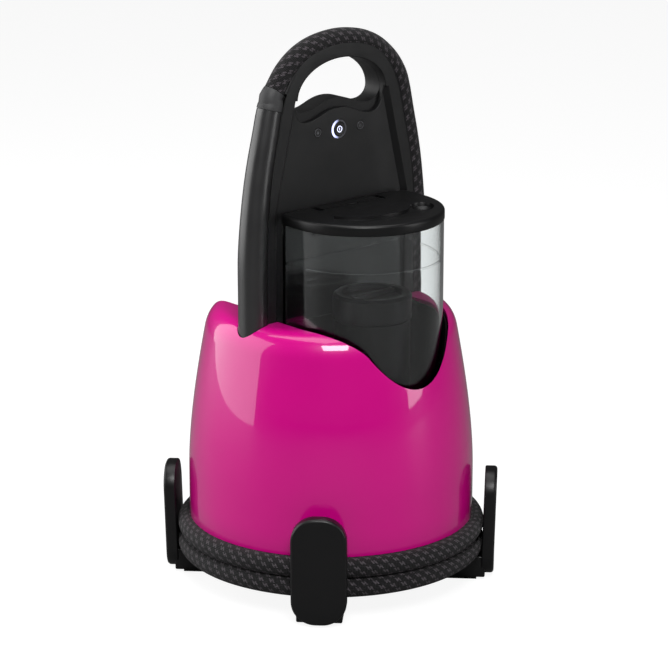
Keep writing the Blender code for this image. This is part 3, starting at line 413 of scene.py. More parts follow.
def uneven_gloss(tree, shader, grain, low, high):
    """Roughness that wanders between two values, over patches of a given size in metres."""
    where = add(tree, "ShaderNodeTexCoord")
    cloud = add(tree, "ShaderNodeTexNoise", {"Scale": 1 / grain, "Detail": 3.0}, {"Vector": where.outputs["Object"]})
    span = add(tree, "ShaderNodeMapRange", {"From Min": 0.3, "From Max": 0.7, "To Min": low, "To Max": high},
               {"Value": cloud.outputs["Fac"]})
    tree.links.new(span.outputs["Result"], shader.inputs["Roughness"])
    return where


def grained(tree, shader, where, grain, height, detail=2.0):
    """A fine moulded texture: bumps of a given size and height in metres."""
    cloud = add(tree, "ShaderNodeTexNoise", {"Scale": 1 / grain, "Detail": detail},
                {"Vector": where.outputs["Object"]})
    bump = add(tree, "ShaderNodeBump", {"Strength": 1.0, "Distance": height}, {"Height": cloud.outputs["Fac"]})
    tree.links.new(bump.outputs["Normal"], shader.inputs["Normal"])


def mottled(tree, shader, where, grain, light, dark):
    """Colour that drifts slightly between two shades."""
    cloud = add(tree, "ShaderNodeTexNoise", {"Scale": 1 / grain, "Detail": 4.0}, {"Vector": where.outputs["Object"]})
    mix = add(tree, "ShaderNodeMix", {"data_type": "RGBA"}, {"Factor": cloud.outputs["Fac"]})
    colours = [socket for socket in mix.inputs if socket.type == "RGBA"]
    colours[0].default_value, colours[1].default_value = shade_of(light), shade_of(dark)
    tree.links.new([s for s in mix.outputs if s.type == "RGBA"][0], shader.inputs["Base Color"])


def lacquered_abs():
    # Injection-moulded ABS under clear lacquer: deep colour, mirror-like coat, faint orange peel.
    material, tree, shader = finish("lacquered_abs_magenta", "#D60288", 0.30, Specular_IOR_Level=0.2, Coat_Weight=1.0, Coat_Roughness=0.03)
    where = uneven_gloss(tree, shader, 0.03, 0.28, 0.36)
    mottled(tree, shader, where, 0.05, "#D80289", "#D00184")
    grained(tree, shader, where, 0.004, 0.000012)
    return material


def moulded_plastic(name, light, dark, low, high, grain, height):
    material, tree, shader = finish(name, light, low, Specular_IOR_Level=0.38)
    where = uneven_gloss(tree, shader, 0.02, low, high)
    mottled(tree, shader, where, 0.012, light, dark)
    grained(tree, shader, where, grain, height)
    return material


def clear_polycarbonate():
    # Clear polycarbonate, polished mould: sharp highlights, a trace of haze from wear.
    material, tree, shader = finish("clear_polycarbonate", "#F7FAFA", 0.02, Transmission_Weight=1.0, IOR=1.5)
    where = add(tree, "ShaderNodeTexCoord")
    cloud = add(tree, "ShaderNodeTexNoise", {"Scale": 60.0, "Detail": 3.0}, {"Vector": where.outputs["Object"]})
    span = add(tree, "ShaderNodeMapRange", {"To Min": 0.01, "To Max": 0.05}, {"Value": cloud.outputs["Fac"]})
    tree.links.new(span.outputs["Result"], shader.inputs["Roughness"])
    return material


def braided_sleeve():
    """Black polyester braid with pairs of grey tracer threads; the braid is 1.2 mm thread to thread."""
    material, tree, shader = finish("braided_polyester_sleeve", "#0C0B0D", 0.75, Sheen_Weight=0.06,
                                    Sheen_Roughness=0.5, Specular_IOR_Level=0.3)
    uv = add(tree, "ShaderNodeUVMap", {"uv_map": "along_hose"})
    split = add(tree, "ShaderNodeSeparateXYZ", {}, {"Vector": uv.outputs["UV"]})
    around, along = split.outputs["X"], split.outputs["Y"]

    def sum_of(a, b, operation="ADD", third=None):
        node = add(tree, "ShaderNodeMath", {"operation": operation})
        for slot, value in enumerate((a, b, third)):
            if isinstance(value, (int, float)):
                node.inputs[slot].default_value = value
            elif value is not None:
                tree.links.new(value, node.inputs[slot])
        return node.outputs["Value"]

    # Two sets of threads cross: 40 strands round the hose, 47 mm, lean both ways.
    lean_a = sum_of(sum_of(around, 20.0, "MULTIPLY"), sum_of(along, 425.0, "MULTIPLY"), "ADD")
    lean_b = sum_of(sum_of(around, 20.0, "MULTIPLY"), sum_of(along, 425.0, "MULTIPLY"), "SUBTRACT")
    wave_a = sum_of(sum_of(lean_a, math.tau, "MULTIPLY"), 0.0, "SINE")
    wave_b = sum_of(sum_of(lean_b, math.tau, "MULTIPLY"), 0.0, "SINE")
    weave = sum_of(wave_a, wave_b, "MULTIPLY")
    bump = add(tree, "ShaderNodeBump", {"Strength": 1.0, "Distance": 0.00022}, {"Height": weave})
    tree.links.new(bump.outputs["Normal"], shader.inputs["Normal"])

    # Tracers: six rows round the hose, every 8.2 mm, each a pair of short slanted stitches.
    row = sum_of(around, 12.0, "MULTIPLY")
    row_number = sum_of(row, 0.0, "FLOOR")
    shift = sum_of(sum_of(row_number, 2.0, "MODULO"), 0.5, "MULTIPLY")
    cell = sum_of(sum_of(along, 122.0, "MULTIPLY"), shift, "ADD")
    across = sum_of(sum_of(row, 1.0, "FRACT"), 0.5, "SUBTRACT")
    beside = sum_of(sum_of(cell, 1.0, "FRACT"), 0.5, "SUBTRACT")
    slanted = sum_of(beside, sum_of(across, 0.30, "MULTIPLY"), "SUBTRACT")
    paired = sum_of(sum_of(slanted, 0.0, "ABSOLUTE"), 0.13, "SUBTRACT")
    thin = sum_of(sum_of(paired, 0.0, "ABSOLUTE"), 0.070, "LESS_THAN")
    short = sum_of(sum_of(across, 0.0, "ABSOLUTE"), 0.36, "LESS_THAN")
    bridge_x = sum_of(sum_of(slanted, 0.0, "ABSOLUTE"), 0.14, "LESS_THAN")
    bridge_y = sum_of(sum_of(across, 0.0, "ABSOLUTE"), 0.12, "LESS_THAN")
    tracer = sum_of(sum_of(thin, short, "MULTIPLY"), sum_of(bridge_x, bridge_y, "MULTIPLY"), "MAXIMUM")
    where = add(tree, "ShaderNodeTexCoord")
    frayed = add(tree, "ShaderNodeTexNoise", {"Scale": 900.0}, {"Vector": where.outputs["Object"]})
    tracer = sum_of(tracer, sum_of(frayed.outputs["Fac"], 1.25, "MULTIPLY"), "MULTIPLY")
    mix = add(tree, "ShaderNodeMix", {"data_type": "RGBA"}, {"Factor": tracer})
    colours = [socket for socket in mix.inputs if socket.type == "RGBA"]
    colours[0].default_value, colours[1].default_value = shade_of("#0C0B0D"), shade_of("#565055")
    tree.links.new([s for s in mix.outputs if s.type == "RGBA"][0], shader.inputs["Base Color"])
    return material


def metal(name, light, dark, low, high, grain):
    material, tree, shader = finish(name, light, low, Metallic=1.0)
    where = uneven_gloss(tree, shader, grain, low, high)
    mottled(tree, shader, where, grain * 3, light, dark)
    grained(tree, shader, where, grain / 4, 0.00001)
    return material


def glowing(name, colour, strength):
    material, tree, shader = finish(name, colour, 0.4, Emission_Color=shade_of(colour), Emission_Strength=strength)
    where = uneven_gloss(tree, shader, 0.002, 0.3, 0.5)
    grained(tree, shader, where, 0.0008, 0.00002)
    return material


def half_lit_ring():
    """A light guide whose light comes from one side, so that it fades round to grey."""
    material, tree, shader = finish("light_guide", "#3A3A40", 0.35, Emission_Color=shade_of("#C4CBFF"))
    where = add(tree, "ShaderNodeTexCoord")
    split = add(tree, "ShaderNodeSeparateXYZ", {}, {"Vector": where.outputs["Object"]})
    span = add(tree, "ShaderNodeMapRange", {"From Min": -0.0005, "From Max": -0.0055, "To Min": 0.0, "To Max": 2.2},
               {"Value": split.outputs["X"]})
    tree.links.new(span.outputs["Result"], shader.inputs["Emission Strength"])
    return material


lacquer = lacquered_abs()
satin_black = moulded_plastic("satin_abs_black", "#0C0C0D", "#09090A", 0.34, 0.42, 0.0012, 0.000010)
soft_black = moulded_plastic("spark_textured_pp_black", "#0D0D0E", "#0A0A0B", 0.46, 0.56, 0.0006, 0.000009)
sleeve_black = moulded_plastic("satin_lacquered_tube_black", "#202021", "#1B1B1C", 0.32, 0.38, 0.0012, 0.000006)
sleeve_black.node_tree.nodes["Principled BSDF"].inputs["Specular IOR Level"].default_value = 1.0
collar_grey = moulded_plastic("matte_pa_grey", "#3A3A3B", "#343435", 0.50, 0.60, 0.0008, 0.000018)
clear = clear_polycarbonate()
braid = braided_sleeve()
rubber = moulded_plastic("moulded_rubber_black", "#1A1A1A", "#141414", 0.70, 0.85, 0.0010, 0.000030)
silicone = moulded_plastic("silicone_tube", "#CFCBC2", "#C4BFB4", 0.45, 0.60, 0.0020, 0.000015)
steel = metal("pressed_stainless_steel", "#B9BABB", "#A9AAAC", 0.25, 0.40, 0.004)
polished_sole = metal("polished_aluminium", "#C8CACD", "#BDBFC3", 0.12, 0.24, 0.002)
brass = metal("turned_brass", "#C9A35A", "#B8924B", 0.22, 0.38, 0.002)
board_green = moulded_plastic("fr4_circuit_board", "#12502B", "#0E4224", 0.40, 0.55, 0.0015, 0.000030)
lamp_white = glowing("backlit_print_white", "#DDE2FF", 1.1)
print_grey = moulded_plastic("pad_print_grey", "#5A5A5E", "#505054", 0.50, 0.60, 0.0006, 0.000010)


# ---------------------------------------------------------------- camera, hose

def make_camera():
    bpy.ops.object.camera_add(location=(-1.3495, -1.5638, 0.7872),
                              rotation=(math.radians(73.807), 0.0, math.radians(-40.793)))
    camera = bpy.context.object
    camera.data.lens = 154.33
    camera.data.sensor_width = 36.0
    camera.data.shift_x = 0.00447
    bpy.context.scene.camera = camera


def hose_mesh(name, points, sides=28):
    """A round hose along its centre line, with a map of how far round and how far along."""
    verts, faces, around = [], [], []
    side, travelled = None, 0.0
    reach = []
    for i, point in enumerate(points):
        ahead = (points[min(i + 1, len(points) - 1)] - points[max(i - 1, 0)]).normalized()
        side = ahead.orthogonal().normalized() if side is None else (side - side.project(ahead)).normalized()
        up = ahead.cross(side)
        travelled += (point - points[i - 1]).length if i else 0.0
        reach.append(travelled)
        for k in range(sides):
            turn = math.tau * k / sides
            verts.append(point + HOSE_RADIUS * (math.cos(turn) * side + math.sin(turn) * up))
    for i in range(len(points) - 1):
        for k in range(sides):
            n = (k + 1) % sides
            faces.append((i * sides + k, i * sides + n, (i + 1) * sides + n, (i + 1) * sides + k))
            around.append([(k / sides, reach[i]), ((k + 1) / sides, reach[i]), ((k + 1) / sides, reach[i + 1]),
                           (k / sides, reach[i + 1])])
    last = (len(points) - 1) * sides
    faces += [tuple(reversed(range(sides))), tuple(range(last, last + sides))]
    around += [[(0.0, 0.0)] * sides, [(0.0, reach[-1])] * sides]
    mesh = bpy.data.meshes.new(name)
    mesh.from_pydata(verts, [], faces)
    layer = mesh.uv_layers.new(name="along_hose")
    for polygon, places in zip(mesh.polygons, around):
        for loop, where in zip(polygon.loop_indices, places):
            layer.data[loop].uv = where
    obj = bpy.data.objects.new(name, mesh)
    bpy.context.scene.collection.objects.link(obj)
    return shade(obj, 60)


def make_hose():
    lead = [(0.1124, 0.0146, 0.0265)]
    main = smooth_route(run_route() + winding_route() + lead + [TAIL_ROUTE[0]], 0.0026)
    tail = smooth_route(TAIL_ROUTE, 0.0026)
    hose = place(hose_mesh("steam_hose", main), "machine", braid, "hose_run", "hose_winding")
    end = place(hose_mesh("steam_hose_tail", tail), None, braid, "hose_tail")
    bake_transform(end)


# ---------------------------------------------------------------- body

def opening_outline():
    front_y, back_y, column = ROLL_Y - 0.0006, COLUMN_BACK_Y + 0.0006, 0.0758
    outline = arc((0.0, -0.0365), 0.0630, 180, 360, 97)
    outline += [(0.0630, front_y), (column, front_y), (column, back_y), (0.0560, back_y), (0.0560, 0.13)]
    return outline + [(-0.0560, 0.13), (-0.0560, back_y), (-column, back_y), (-column, front_y), (-0.0630, front_y)]


def make_shell():
    wall = shell_profile(SHELL_FOOT_Z) + [(0.050, SHELL_TOP_Z)]
    shell = turned("body_shell", wall + moved_in(wall, 0.0025)[::-1], 180)
    leg = rod("leg_hole", [(-0.080, HOSE_Y, 0.15), (-0.080, HOSE_Y, 0.24)], [0.0114] * 2, 48)
    hose = rod("hose_hole", [(0.080, HOSE_Y, 0.15), (0.080, HOSE_Y, 0.24)], [0.0084] * 2, 48)
    carve(shell, plate("opening", opening_outline(), 0.03, 0.26), leg, hose)
    soften(shell, 0.0007, 3, 50)
    place(shell, "machine", lacquer, "outer_shell")


def make_hooks():
    """One pill-shaped plate on its foot, copied to the four corners."""
    half, low, high, corner = 0.0205, 0.0019, 0.0845, 0.0180
    outline = arc((half - corner, high - corner), corner, 0, 90, 14)
    outline += arc((corner - half, high - corner), corner, 90, 180, 14)
    outline += arc((corner - half, low + corner), corner, 180, 270, 14)
    outline += arc((half - corner, low + corner), corner, 270, 360, 14)
    hook = plate("front_left_hook", outline, 0.1173, 0.1265, "X")
    bevel_where(hook, lambda a, b: min(a.x, b.x) > 0.1264, 0.0024, 5)
    bevel_where(hook, lambda a, b: max(a.x, b.x) < 0.1174, 0.0010, 3)
    foot = plate("hook_foot", [(0.050, -0.0170), (0.1200, -0.0170), (0.1200, 0.0170), (0.050, 0.0170)], low, 0.0187)
    soften(foot, 0.0012, 3)
    carve(hook, foot, operation="UNION")
    shade(hook)
    names = {225: "front_left", 315: "front_right", 45: "rear_right", 135: "rear_left"}
    for degrees, name in names.items():
        piece = hook.copy()
        piece.data = hook.data.copy()
        piece.name = f"hook_{name}"
        bpy.context.scene.collection.objects.link(piece)
        turn = math.radians(degrees)
        for vert in piece.data.vertices:
            x, y, z = vert.co
            x += 0.0016 * ease((z - 0.02) / 0.065) - 0.0016
            vert.co = (x * math.cos(turn) - y * math.sin(turn), x * math.sin(turn) + y * math.cos(turn), z)
        place(piece, "machine", satin_black, f"hose_hook_{name}")
    bpy.data.objects.remove(hook, do_unlink=True)


def make_well():
    """The rim round the tank: a thin black wall just inside the shell's opening."""
    tub = plate("tank_well_rim", tank_outline(0.0624, -0.0365, PANEL_Y - 0.0003), 0.1270, 0.2215)
    wall = [(0.0, 0.10)] + moved_in(shell_profile(SHELL_FOOT_Z), 0.0031)
    dome = turned("dome", [(0.0, SHELL_FOOT_Z)] + wall[1:] + [(0.0, wall[-1][1])], 150)
    carve(tub, dome, operation="INTERSECT")
    room = plate("tank_room", tank_outline(0.0608, -0.0365, PANEL_Y - 0.0017), 0.1297, 0.2315)
    bore = rod("valve_bore", [(0.0, -0.060, 0.12), (0.0, -0.060, 0.135)], [0.0074] * 2)
    carve(tub, room, bore)
    place(shade(tub), "machine", soft_black, "tank_well")


# ---------------------------------------------------------------- column

def groove_cutters():
    run = [point for point in smooth_route(run_route(), 0.006) if point.z > COLUMN_FOOT_Z - 0.02]
    leg = leg_points()
    radii = leg_radii(len(leg), 0.0003)
    hose = rod("hose_groove", run, [HOSE_RADIUS + 0.0004] * len(run), 40)
    sleeve = rod("leg_groove", [leg[0] - Vector((0, 0, 0.01))] + leg[1:], radii, 40)
    collar = collar_points(0.0013)
    middle = [collar[0].lerp(collar[3], 0.5), collar[-4].lerp(collar[-1], 0.5)]
    ring = rod("collar_groove", [collar[0], *middle, collar[-1]], [0.0098] * 4, 38)
    return hose, sleeve, ring


def panel_cutter():
    """The recess of the control panel, its sides sloping outwards."""
    half = [(0.0413, 0.3730), (0.0604, 0.2925), (0.0604, 0.1180)]
    cutter = plate("panel_recess", half + [(-x, z) for x, z in reversed(half)], PANEL_Y, ROLL_Y - 0.001, "Y")
    for vert in cutter.data.vertices:
        if vert.co.y < PANEL_Y - 0.001:
            vert.co.x += math.copysign(PANEL_Y - ROLL_Y + 0.001, vert.co.x)
    return cutter


def make_column_front():
    front = plate("column_front_shell", column_outline(), ROLL_Y, PARTING_Y - 0.00015, "Y")
    bevel_where(front, lambda a, b: max(a.y, b.y) < ROLL_Y + 1e-5 and max(a.z, b.z) > COLUMN_FOOT_Z + 1e-4, 0.0036, 6)
    carve(front, panel_cutter())
    grip = plate("finger_opening", grip_outline(0.3550, 0.0305, 0.3622), ROLL_Y - 0.01, PARTING_Y + 0.01, "Y")
    carve(front, grip)
    bevel_where(front, on_grip_front, 0.0030, 6)
    carve(front, *groove_cutters())
    clearance = plate("well_clearance", tank_outline(0.0627, -0.0365, PANEL_Y), 0.107, SHELL_TOP_Z + 0.002)
    carve(front, clearance)
    for x, radius in ((0.0, 0.0073), (-0.0206, 0.0034), (0.0206, 0.0034)):
        carve(front, rod("light_hole", [(x, -0.02, BUTTON_Z), (x, 0.0, BUTTON_Z)], [radius] * 2, 48))
    place(shade(front, 35), "machine", soft_black, "column_front")


def on_grip_front(a, b):
    """Edges where the front meets the finger opening."""
    def on_line(p):
        arch = abs(((p.x / 0.0425) ** 2 + ((p.z - 0.372) / 0.0277) ** 2) - 1.0) < 0.02 and p.z > 0.3719
        wave = 0.3545 < p.z < 0.3725 and abs(p.x) < 0.0427
        return arch or wave
    front = max(a.y, b.y) < PANEL_Y + 1e-5
    return front and on_line(a) and on_line(b)


def make_column_rear():
    rear = plate("column_rear_shell", column_outline(), PARTING_Y + 0.00015, COLUMN_BACK_Y, "Y")
    bevel_where(rear, lambda a, b: min(a.y, b.y) > COLUMN_BACK_Y - 1e-5 and max(a.z, b.z) > COLUMN_FOOT_Z + 1e-4,
                0.0036, 6)
    grip = plate("finger_opening", grip_outline(0.3620, 0.0300, 0.3690), PARTING_Y - 0.01, COLUMN_BACK_Y + 0.01, "Y")
    carve(rear, grip)
    bevel_where(rear, lambda a, b: min(a.y, b.y) > COLUMN_BACK_Y - 1e-5 and max(abs(a.x), abs(b.x)) < 0.0426
                and min(a.z, b.z) > 0.3615 and max(a.z, b.z) < 0.3998, 0.0030, 6)
    room = plate("board_room", [(-0.038, 0.300), (0.038, 0.300), (0.038, 0.3520), (-0.038, 0.3520)],
                 PARTING_Y - 0.005, COLUMN_BACK_Y - 0.0025, "Y")
    carve(rear, room, *groove_cutters())
    place(shade(rear, 35), "machine", soft_black, "column_rear")


def make_leg():
    points = leg_points()
    leg = rod("hose_leg_tube", points, leg_radii(len(points)), 56)
    place(shade(leg, 40), "machine", sleeve_black, "hose_leg")
    collar = collar_points()
    radii = [0.0094 - 0.0015 * i / (len(collar) - 1) for i in range(len(collar))]
    ring = rod("hose_leg_collar", collar, radii, 56)
    soften(ring, 0.0005, 3, 50)
    place(ring, "machine", collar_grey, "hose_collar")


def flat_ring(name, inner, outer, y0, y1, x=0.0, z=BUTTON_Z):
    ring = turned(name, [(inner, y0), (outer, y0), (outer, y1), (inner, y1)], 56)
    return shade(lay_along_y(ring, x, z))


def make_panel():
    """The lit power button and the two small lamps beside it."""
    face = PANEL_Y - 0.0006
    cap = lay_along_y(turned("power_button_cap", [(0.0, face + 0.0002), (0.0030, face + 0.0001), (0.0048, face),
                                                  (0.0053, face + 0.0004), (0.0053, PARTING_Y - 0.0007),
                                                  (0.0, PARTING_Y - 0.0007)], 56), 0.0, BUTTON_Z)
    place(shade(cap), "button", satin_black, "power_button")
    symbol = flat_ring("power_symbol_ring", 0.00185, 0.00245, face - 0.00005, face + 0.0003)
    place(symbol, "button", lamp_white)
    bar = plate("power_symbol_bar", box(0.00028, BUTTON_Z - 0.0010, BUTTON_Z + 0.0010), face - 0.00005,
                face + 0.0003, "Y")
    place(soften(bar, 0.0001, 2), "button", lamp_white)
    ring = flat_ring("power_light_guide", 0.0056, 0.0070, PANEL_Y - 0.0002, PARTING_Y - 0.0014)
    place(soften(ring, 0.00015, 2), "machine", half_lit_ring(), "power_ring")
    for name, x, node in (("water_lamp", -0.0206, "water_light"), ("filter_lamp", 0.0206, "filter_light")):
        lens = lay_along_y(turned(name, [(0.0, PANEL_Y - 0.0001), (0.0027, PANEL_Y - 0.0001),
                                         (0.0031, PANEL_Y + 0.0002),
                                         (0.0031, PARTING_Y - 0.0014), (0.0, PARTING_Y - 0.0014)], 40), x, BUTTON_Z)
        place(shade(lens), "machine", satin_black, node)
        place(flat_ring(name + "_edge", 0.0027, 0.0030, PANEL_Y - 0.00022, PANEL_Y, x), "machine", print_grey)
    drop = arc((-0.0206, BUTTON_Z - 0.0004), 0.00075, -215, 35, 16) + [(-0.0206, BUTTON_Z + 0.0014)]
    place(shade(plate("drop_symbol", drop, PANEL_Y - 0.0002, PANEL_Y + 0.0001, "Y")), "machine", print_grey)
    for number in range(3):
        z = BUTTON_Z - 0.0008 + 0.0008 * number
        line = plate(f"grid_symbol_{number}", [(0.0195, z - 0.00015), (0.0217, z - 0.00015), (0.0217, z + 0.00015),
                                               (0.0195, z + 0.00015)], PANEL_Y - 0.0002, PANEL_Y + 0.0001, "Y")
        place(line, "machine", print_grey)


def box(half_width, low, high):
    return [(-half_width, low), (half_width, low), (half_width, high), (-half_width, high)]


# ---------------------------------------------------------------- tank

def make_tank():
    rim_z = LID_TOP_Z - LID_THICKNESS - 0.0005
    tank = plate("tank_jug", tank_outline(TANK_RADIUS, TANK_CENTRE_Y, TANK_BACK_Y), TANK_FLOOR_Z, rim_z)
    bevel_where(tank, lambda a, b: max(a.z, b.z) < TANK_FLOOR_Z + 1e-5, 0.0018, 4)
    room = plate("tank_inside", tank_outline(TANK_RADIUS - 0.0025, TANK_CENTRE_Y, TANK_BACK_Y - 0.0025, 0.002),
                 TANK_FLOOR_Z + 0.003, rim_z + 0.01)
    bevel_where(room, lambda a, b: max(a.z, b.z) < TANK_FLOOR_Z + 0.0031, 0.0018, 4)
    bore = rod("valve_bore", [(0.0, -0.060, 0.125), (0.0, -0.060, 0.135)], [0.0056] * 2)
    carve(tank, room, bore)
    axis_z, wall_y = LID_TOP_Z - LID_THICKNESS / 2, TANK_BACK_Y - 0.00125
    for x in (-0.030, 0.030):
        ear = plate("ear", [(LID_HINGE_Y - 0.003, rim_z - 0.012), (wall_y, rim_z - 0.012), (wall_y, axis_z + 0.0018),
                            (LID_HINGE_Y - 0.003, axis_z + 0.0018)], x - 0.002, x + 0.002, "X")
        carve(tank, ear, operation="UNION")
    line = plate("fill_line", tank_outline(TANK_RADIUS - 0.0010, TANK_CENTRE_Y, TANK_BACK_Y - 0.0010), 0.2549, 0.2561)
    hollow = plate("fill_line_room", tank_outline(TANK_RADIUS - 0.0033, TANK_CENTRE_Y, TANK_BACK_Y - 0.0033, 0.002),
                   0.2500, 0.2600)
    carve(line, hollow)
    carve(tank, line, operation="UNION")
    place(shade(tank, 35), "tank", clear, "water_tank")


def make_lid():
    low, back = LID_TOP_Z - LID_THICKNESS, LID_HINGE_Y + 0.0040
    lid = plate("tank_lid_cover", tank_outline(TANK_RADIUS + 0.0005, TANK_CENTRE_Y, back, 0.0035), low, LID_TOP_Z)
    bevel_where(lid, lambda a, b: min(a.z, b.z) > LID_TOP_Z - 1e-5 and min(a.y, b.y) < back - 1e-5, 0.0022, 5)
    bevel_where(lid, lambda a, b: min(a.y, b.y) > back - 1e-5 and abs(a.z - b.z) < 1e-5
                and abs(a.x - b.x) > 0.05, 0.0033, 6)
    bevel_where(lid, lambda a, b: max(a.z, b.z) < low + 1e-5 and min(a.y, b.y) < back - 0.001, 0.0006, 2)
    inner = [(-0.0350, -0.0430)] + bezier((-0.0350, -0.0430), (-0.0300, -0.0560), (-0.0120, -0.0655),
                                          (0.0060, -0.0655), 18)
    inner += bezier(inner[-1], (0.0170, -0.0655), (0.0250, -0.0600), (0.0300, -0.0540), 8)
    outer = bezier((0.0450, -0.0640), (0.0330, -0.0780), (0.0150, -0.0830), (-0.0040, -0.0800), 16)
    outer += bezier(outer[-1], (-0.0220, -0.0770), (-0.0350, -0.0660), (-0.0400, -0.0500), 14)
    groove = plate("lid_groove", inner + [(0.0440, -0.0560)] + outer, LID_TOP_Z - 0.0022, LID_TOP_Z + 0.005)
    section = [(0.0, LID_TOP_Z - 0.0052), (0.0052, LID_TOP_Z - 0.0048), (0.0076, LID_TOP_Z - 0.0028),
               (0.0088, LID_TOP_Z + 0.003), (0.0, LID_TOP_Z + 0.003)]
    carve(lid, groove, turned("finger_pocket", section, 48, (0.0370, -0.0600)))
    for x0, x1 in ((-0.0250, -0.0030), (0.0090, 0.0260)):
        slot = plate("lid_slot", [(x0, -0.0238), (x1, -0.0238), (x1, -0.0228), (x0, -0.0228)], LID_TOP_Z - 0.001,
                     LID_TOP_Z + 0.002)
        carve(lid, slot)
    thumb = plate("lid_notch", [(-0.0010, -0.0225), (0.0070, -0.0225), (0.0050, -0.0255), (0.0010, -0.0255)],
                  LID_TOP_Z - 0.0015, LID_TOP_Z + 0.002)
    carve(lid, thumb)
    for x in (-0.030, 0.030):
        notch = plate("ear_notch", [(x - 0.0025, LID_HINGE_Y - 0.008), (x + 0.0025, LID_HINGE_Y - 0.008),
                                    (x + 0.0025, back + 0.002), (x - 0.0025, back + 0.002)],
                      low - 0.002, LID_TOP_Z + 0.002)
        carve(lid, notch)
    soften(lid, 0.0008, 3, 55)
    place(lid, "lid", satin_black, "tank_lid")


def make_filter():
    """The anti-scale cartridge: a dark canister with a stepped cap and a finger bar."""
    low, top, radius = TANK_FLOOR_Z + 0.0033, TANK_FLOOR_Z + 0.1008, 0.0290
    section = [(0.0, low), (radius - 0.001, low), (radius, low + 0.001), (radius, low + 0.012),
               (radius - 0.0012, low + 0.0135),
               (radius - 0.0012, top - 0.020), (radius, top - 0.0185), (radius, top - 0.002), (radius - 0.002, top),
               (radius - 0.006, top), (radius - 0.0075, top - 0.004), (0.0, top - 0.004)]
    canister = turned("anti_scale_cartridge", section, 72, (0.0, -0.0465))
    bar = plate("finger_bar", [(-0.020, -0.0485), (0.020, -0.0485), (0.020, -0.0445), (-0.020, -0.0445)], top - 0.006,
                top - 0.0004)
    carve(canister, bar, operation="UNION")
    carve(canister, turned("valve_pocket", [(0.0, low - 0.002), (0.0085, low - 0.002), (0.0085, low + 0.006),
                                            (0.0, low + 0.006)], 32, (0.0, -0.060)))
    soften(canister, 0.0005, 2, 45)
    place(canister, "tank", satin_black, "scale_filter")


# ---------------------------------------------------------------- steam head

def sole_outline(shrink):
    half, heel, tip = 0.0480 - shrink, 0.0970 + shrink, 0.3120 - 2 * shrink
    right = arc((half - 0.010, heel + 0.010), 0.010, -90, 0, 10)
    right += bezier(right[-1], (half, heel + 0.085), (0.016, tip - 0.022), (0.0, tip), 30)
    return right + [(-x, z) for x, z in reversed(right[:-1])]


def make_soleplate():
    sole = plate("head_sole", sole_outline(0.0), 0.0130, 0.0190, "Y")
    soften(sole, 0.0010, 3)
    for x, z in [(0.0, 0.285), (0.010, 0.262), (-0.010, 0.262), (0.0, 0.250), (0.020, 0.232), (-0.020, 0.232),
                 (0.029, 0.200), (-0.029, 0.200), (0.034, 0.165), (-0.034, 0.165), (0.012, 0.222), (-0.012, 0.222)]:
        carve(sole, rod("steam_hole", [(x, 0.0100, z), (x, 0.0155, z)], [0.0016] * 2, 16))
    place(shade(sole), "head", polished_sole, "soleplate")


def make_head_body():
    """The head's housing, drawn in by steps as it rises from the sole."""
    body = plate("head_housing", sole_outline(0.001), 0.0193, 0.0260, "Y")
    steps = [(0.0260, 1.0), (0.0330, 0.975), (0.0395, 0.930), (0.0455, 0.855), (0.0500, 0.760), (0.0523, 0.660)]
    for (low_y, low_share), (high_y, high_share) in zip(steps, steps[1:]):
        edit(body)
        bpy.ops.mesh.select_mode(type="FACE")
        bpy.ops.mesh.select_all(action="DESELECT")
        bare()
        for polygon in body.data.polygons:
            polygon.select = polygon.center.y > low_y - 1e-5 and len(polygon.vertices) > 8
        only(body)
        bpy.ops.object.mode_set(mode="EDIT")
        bpy.ops.mesh.extrude_region_move(TRANSFORM_OT_translate={"value": (0, high_y - low_y, 0)})
        share = high_share / low_share
        bpy.ops.transform.resize(value=(share, 1.0, share), center_override=(0.0, high_y, 0.178))
        bare()
    place(shade(body, 40), "head", satin_black, "head_body")


def make_head_handle():
    root_y = 0.0526
    tip = Vector(HANDLE_TIP)
    aim = (Vector(TAIL_ROUTE[-1]) - tip).normalized()
    route = [tip - 0.007 * aim, (0, 0.0872, 0.1340), (0, 0.0858, 0.1500), (0, 0.0845, 0.1750), (0, 0.0835, 0.2000),
             (0, 0.0790, 0.2230), (0, 0.0700, 0.2400), (0, root_y + 0.006, 0.2470)]
    points = [tip] + smooth_route(route, 0.004) + [Vector((0, root_y, 0.2470))]
    last = len(points) - 1
    radii = [0.0120 * (0.93 + 0.07 * math.sin(math.pi * i / last)) for i in range(last + 1)]
    handle = rod("head_grip", points, radii, 40)
    carve(handle, rod("arm", [(0, root_y, 0.1290), (0, 0.0640, 0.1290), (0, 0.0870, 0.1340)],
                      [0.0115, 0.0100, 0.0095], 32), operation="UNION")
    carve(handle, plate("trigger_pocket", box(0.0068, 0.1777, 0.2043), 0.058, 0.0801, "Y"))
    place(shade(handle, 40), "head", soft_black, "head_handle")


def make_boot():
    start, end = Vector(HANDLE_TIP), Vector(TAIL_ROUTE[-1])
    aim = (end - start).normalized()
    start, end = start + 0.0003 * aim, end - 0.0003 * aim
    shares = [i / 24 for i in range(25)]
    radii = [0.0110 - 0.0020 * s - (0.0007 if i % 4 in (1, 2) and 2 < i < 23 else 0.0) for i, s in enumerate(shares)]
    boot = rod("hose_strain_relief", [start.lerp(end, s) for s in shares], radii, 32)
    place(shade(boot, 50), "head", rubber, "hose_boot")


# ---------------------------------------------------------------- studio

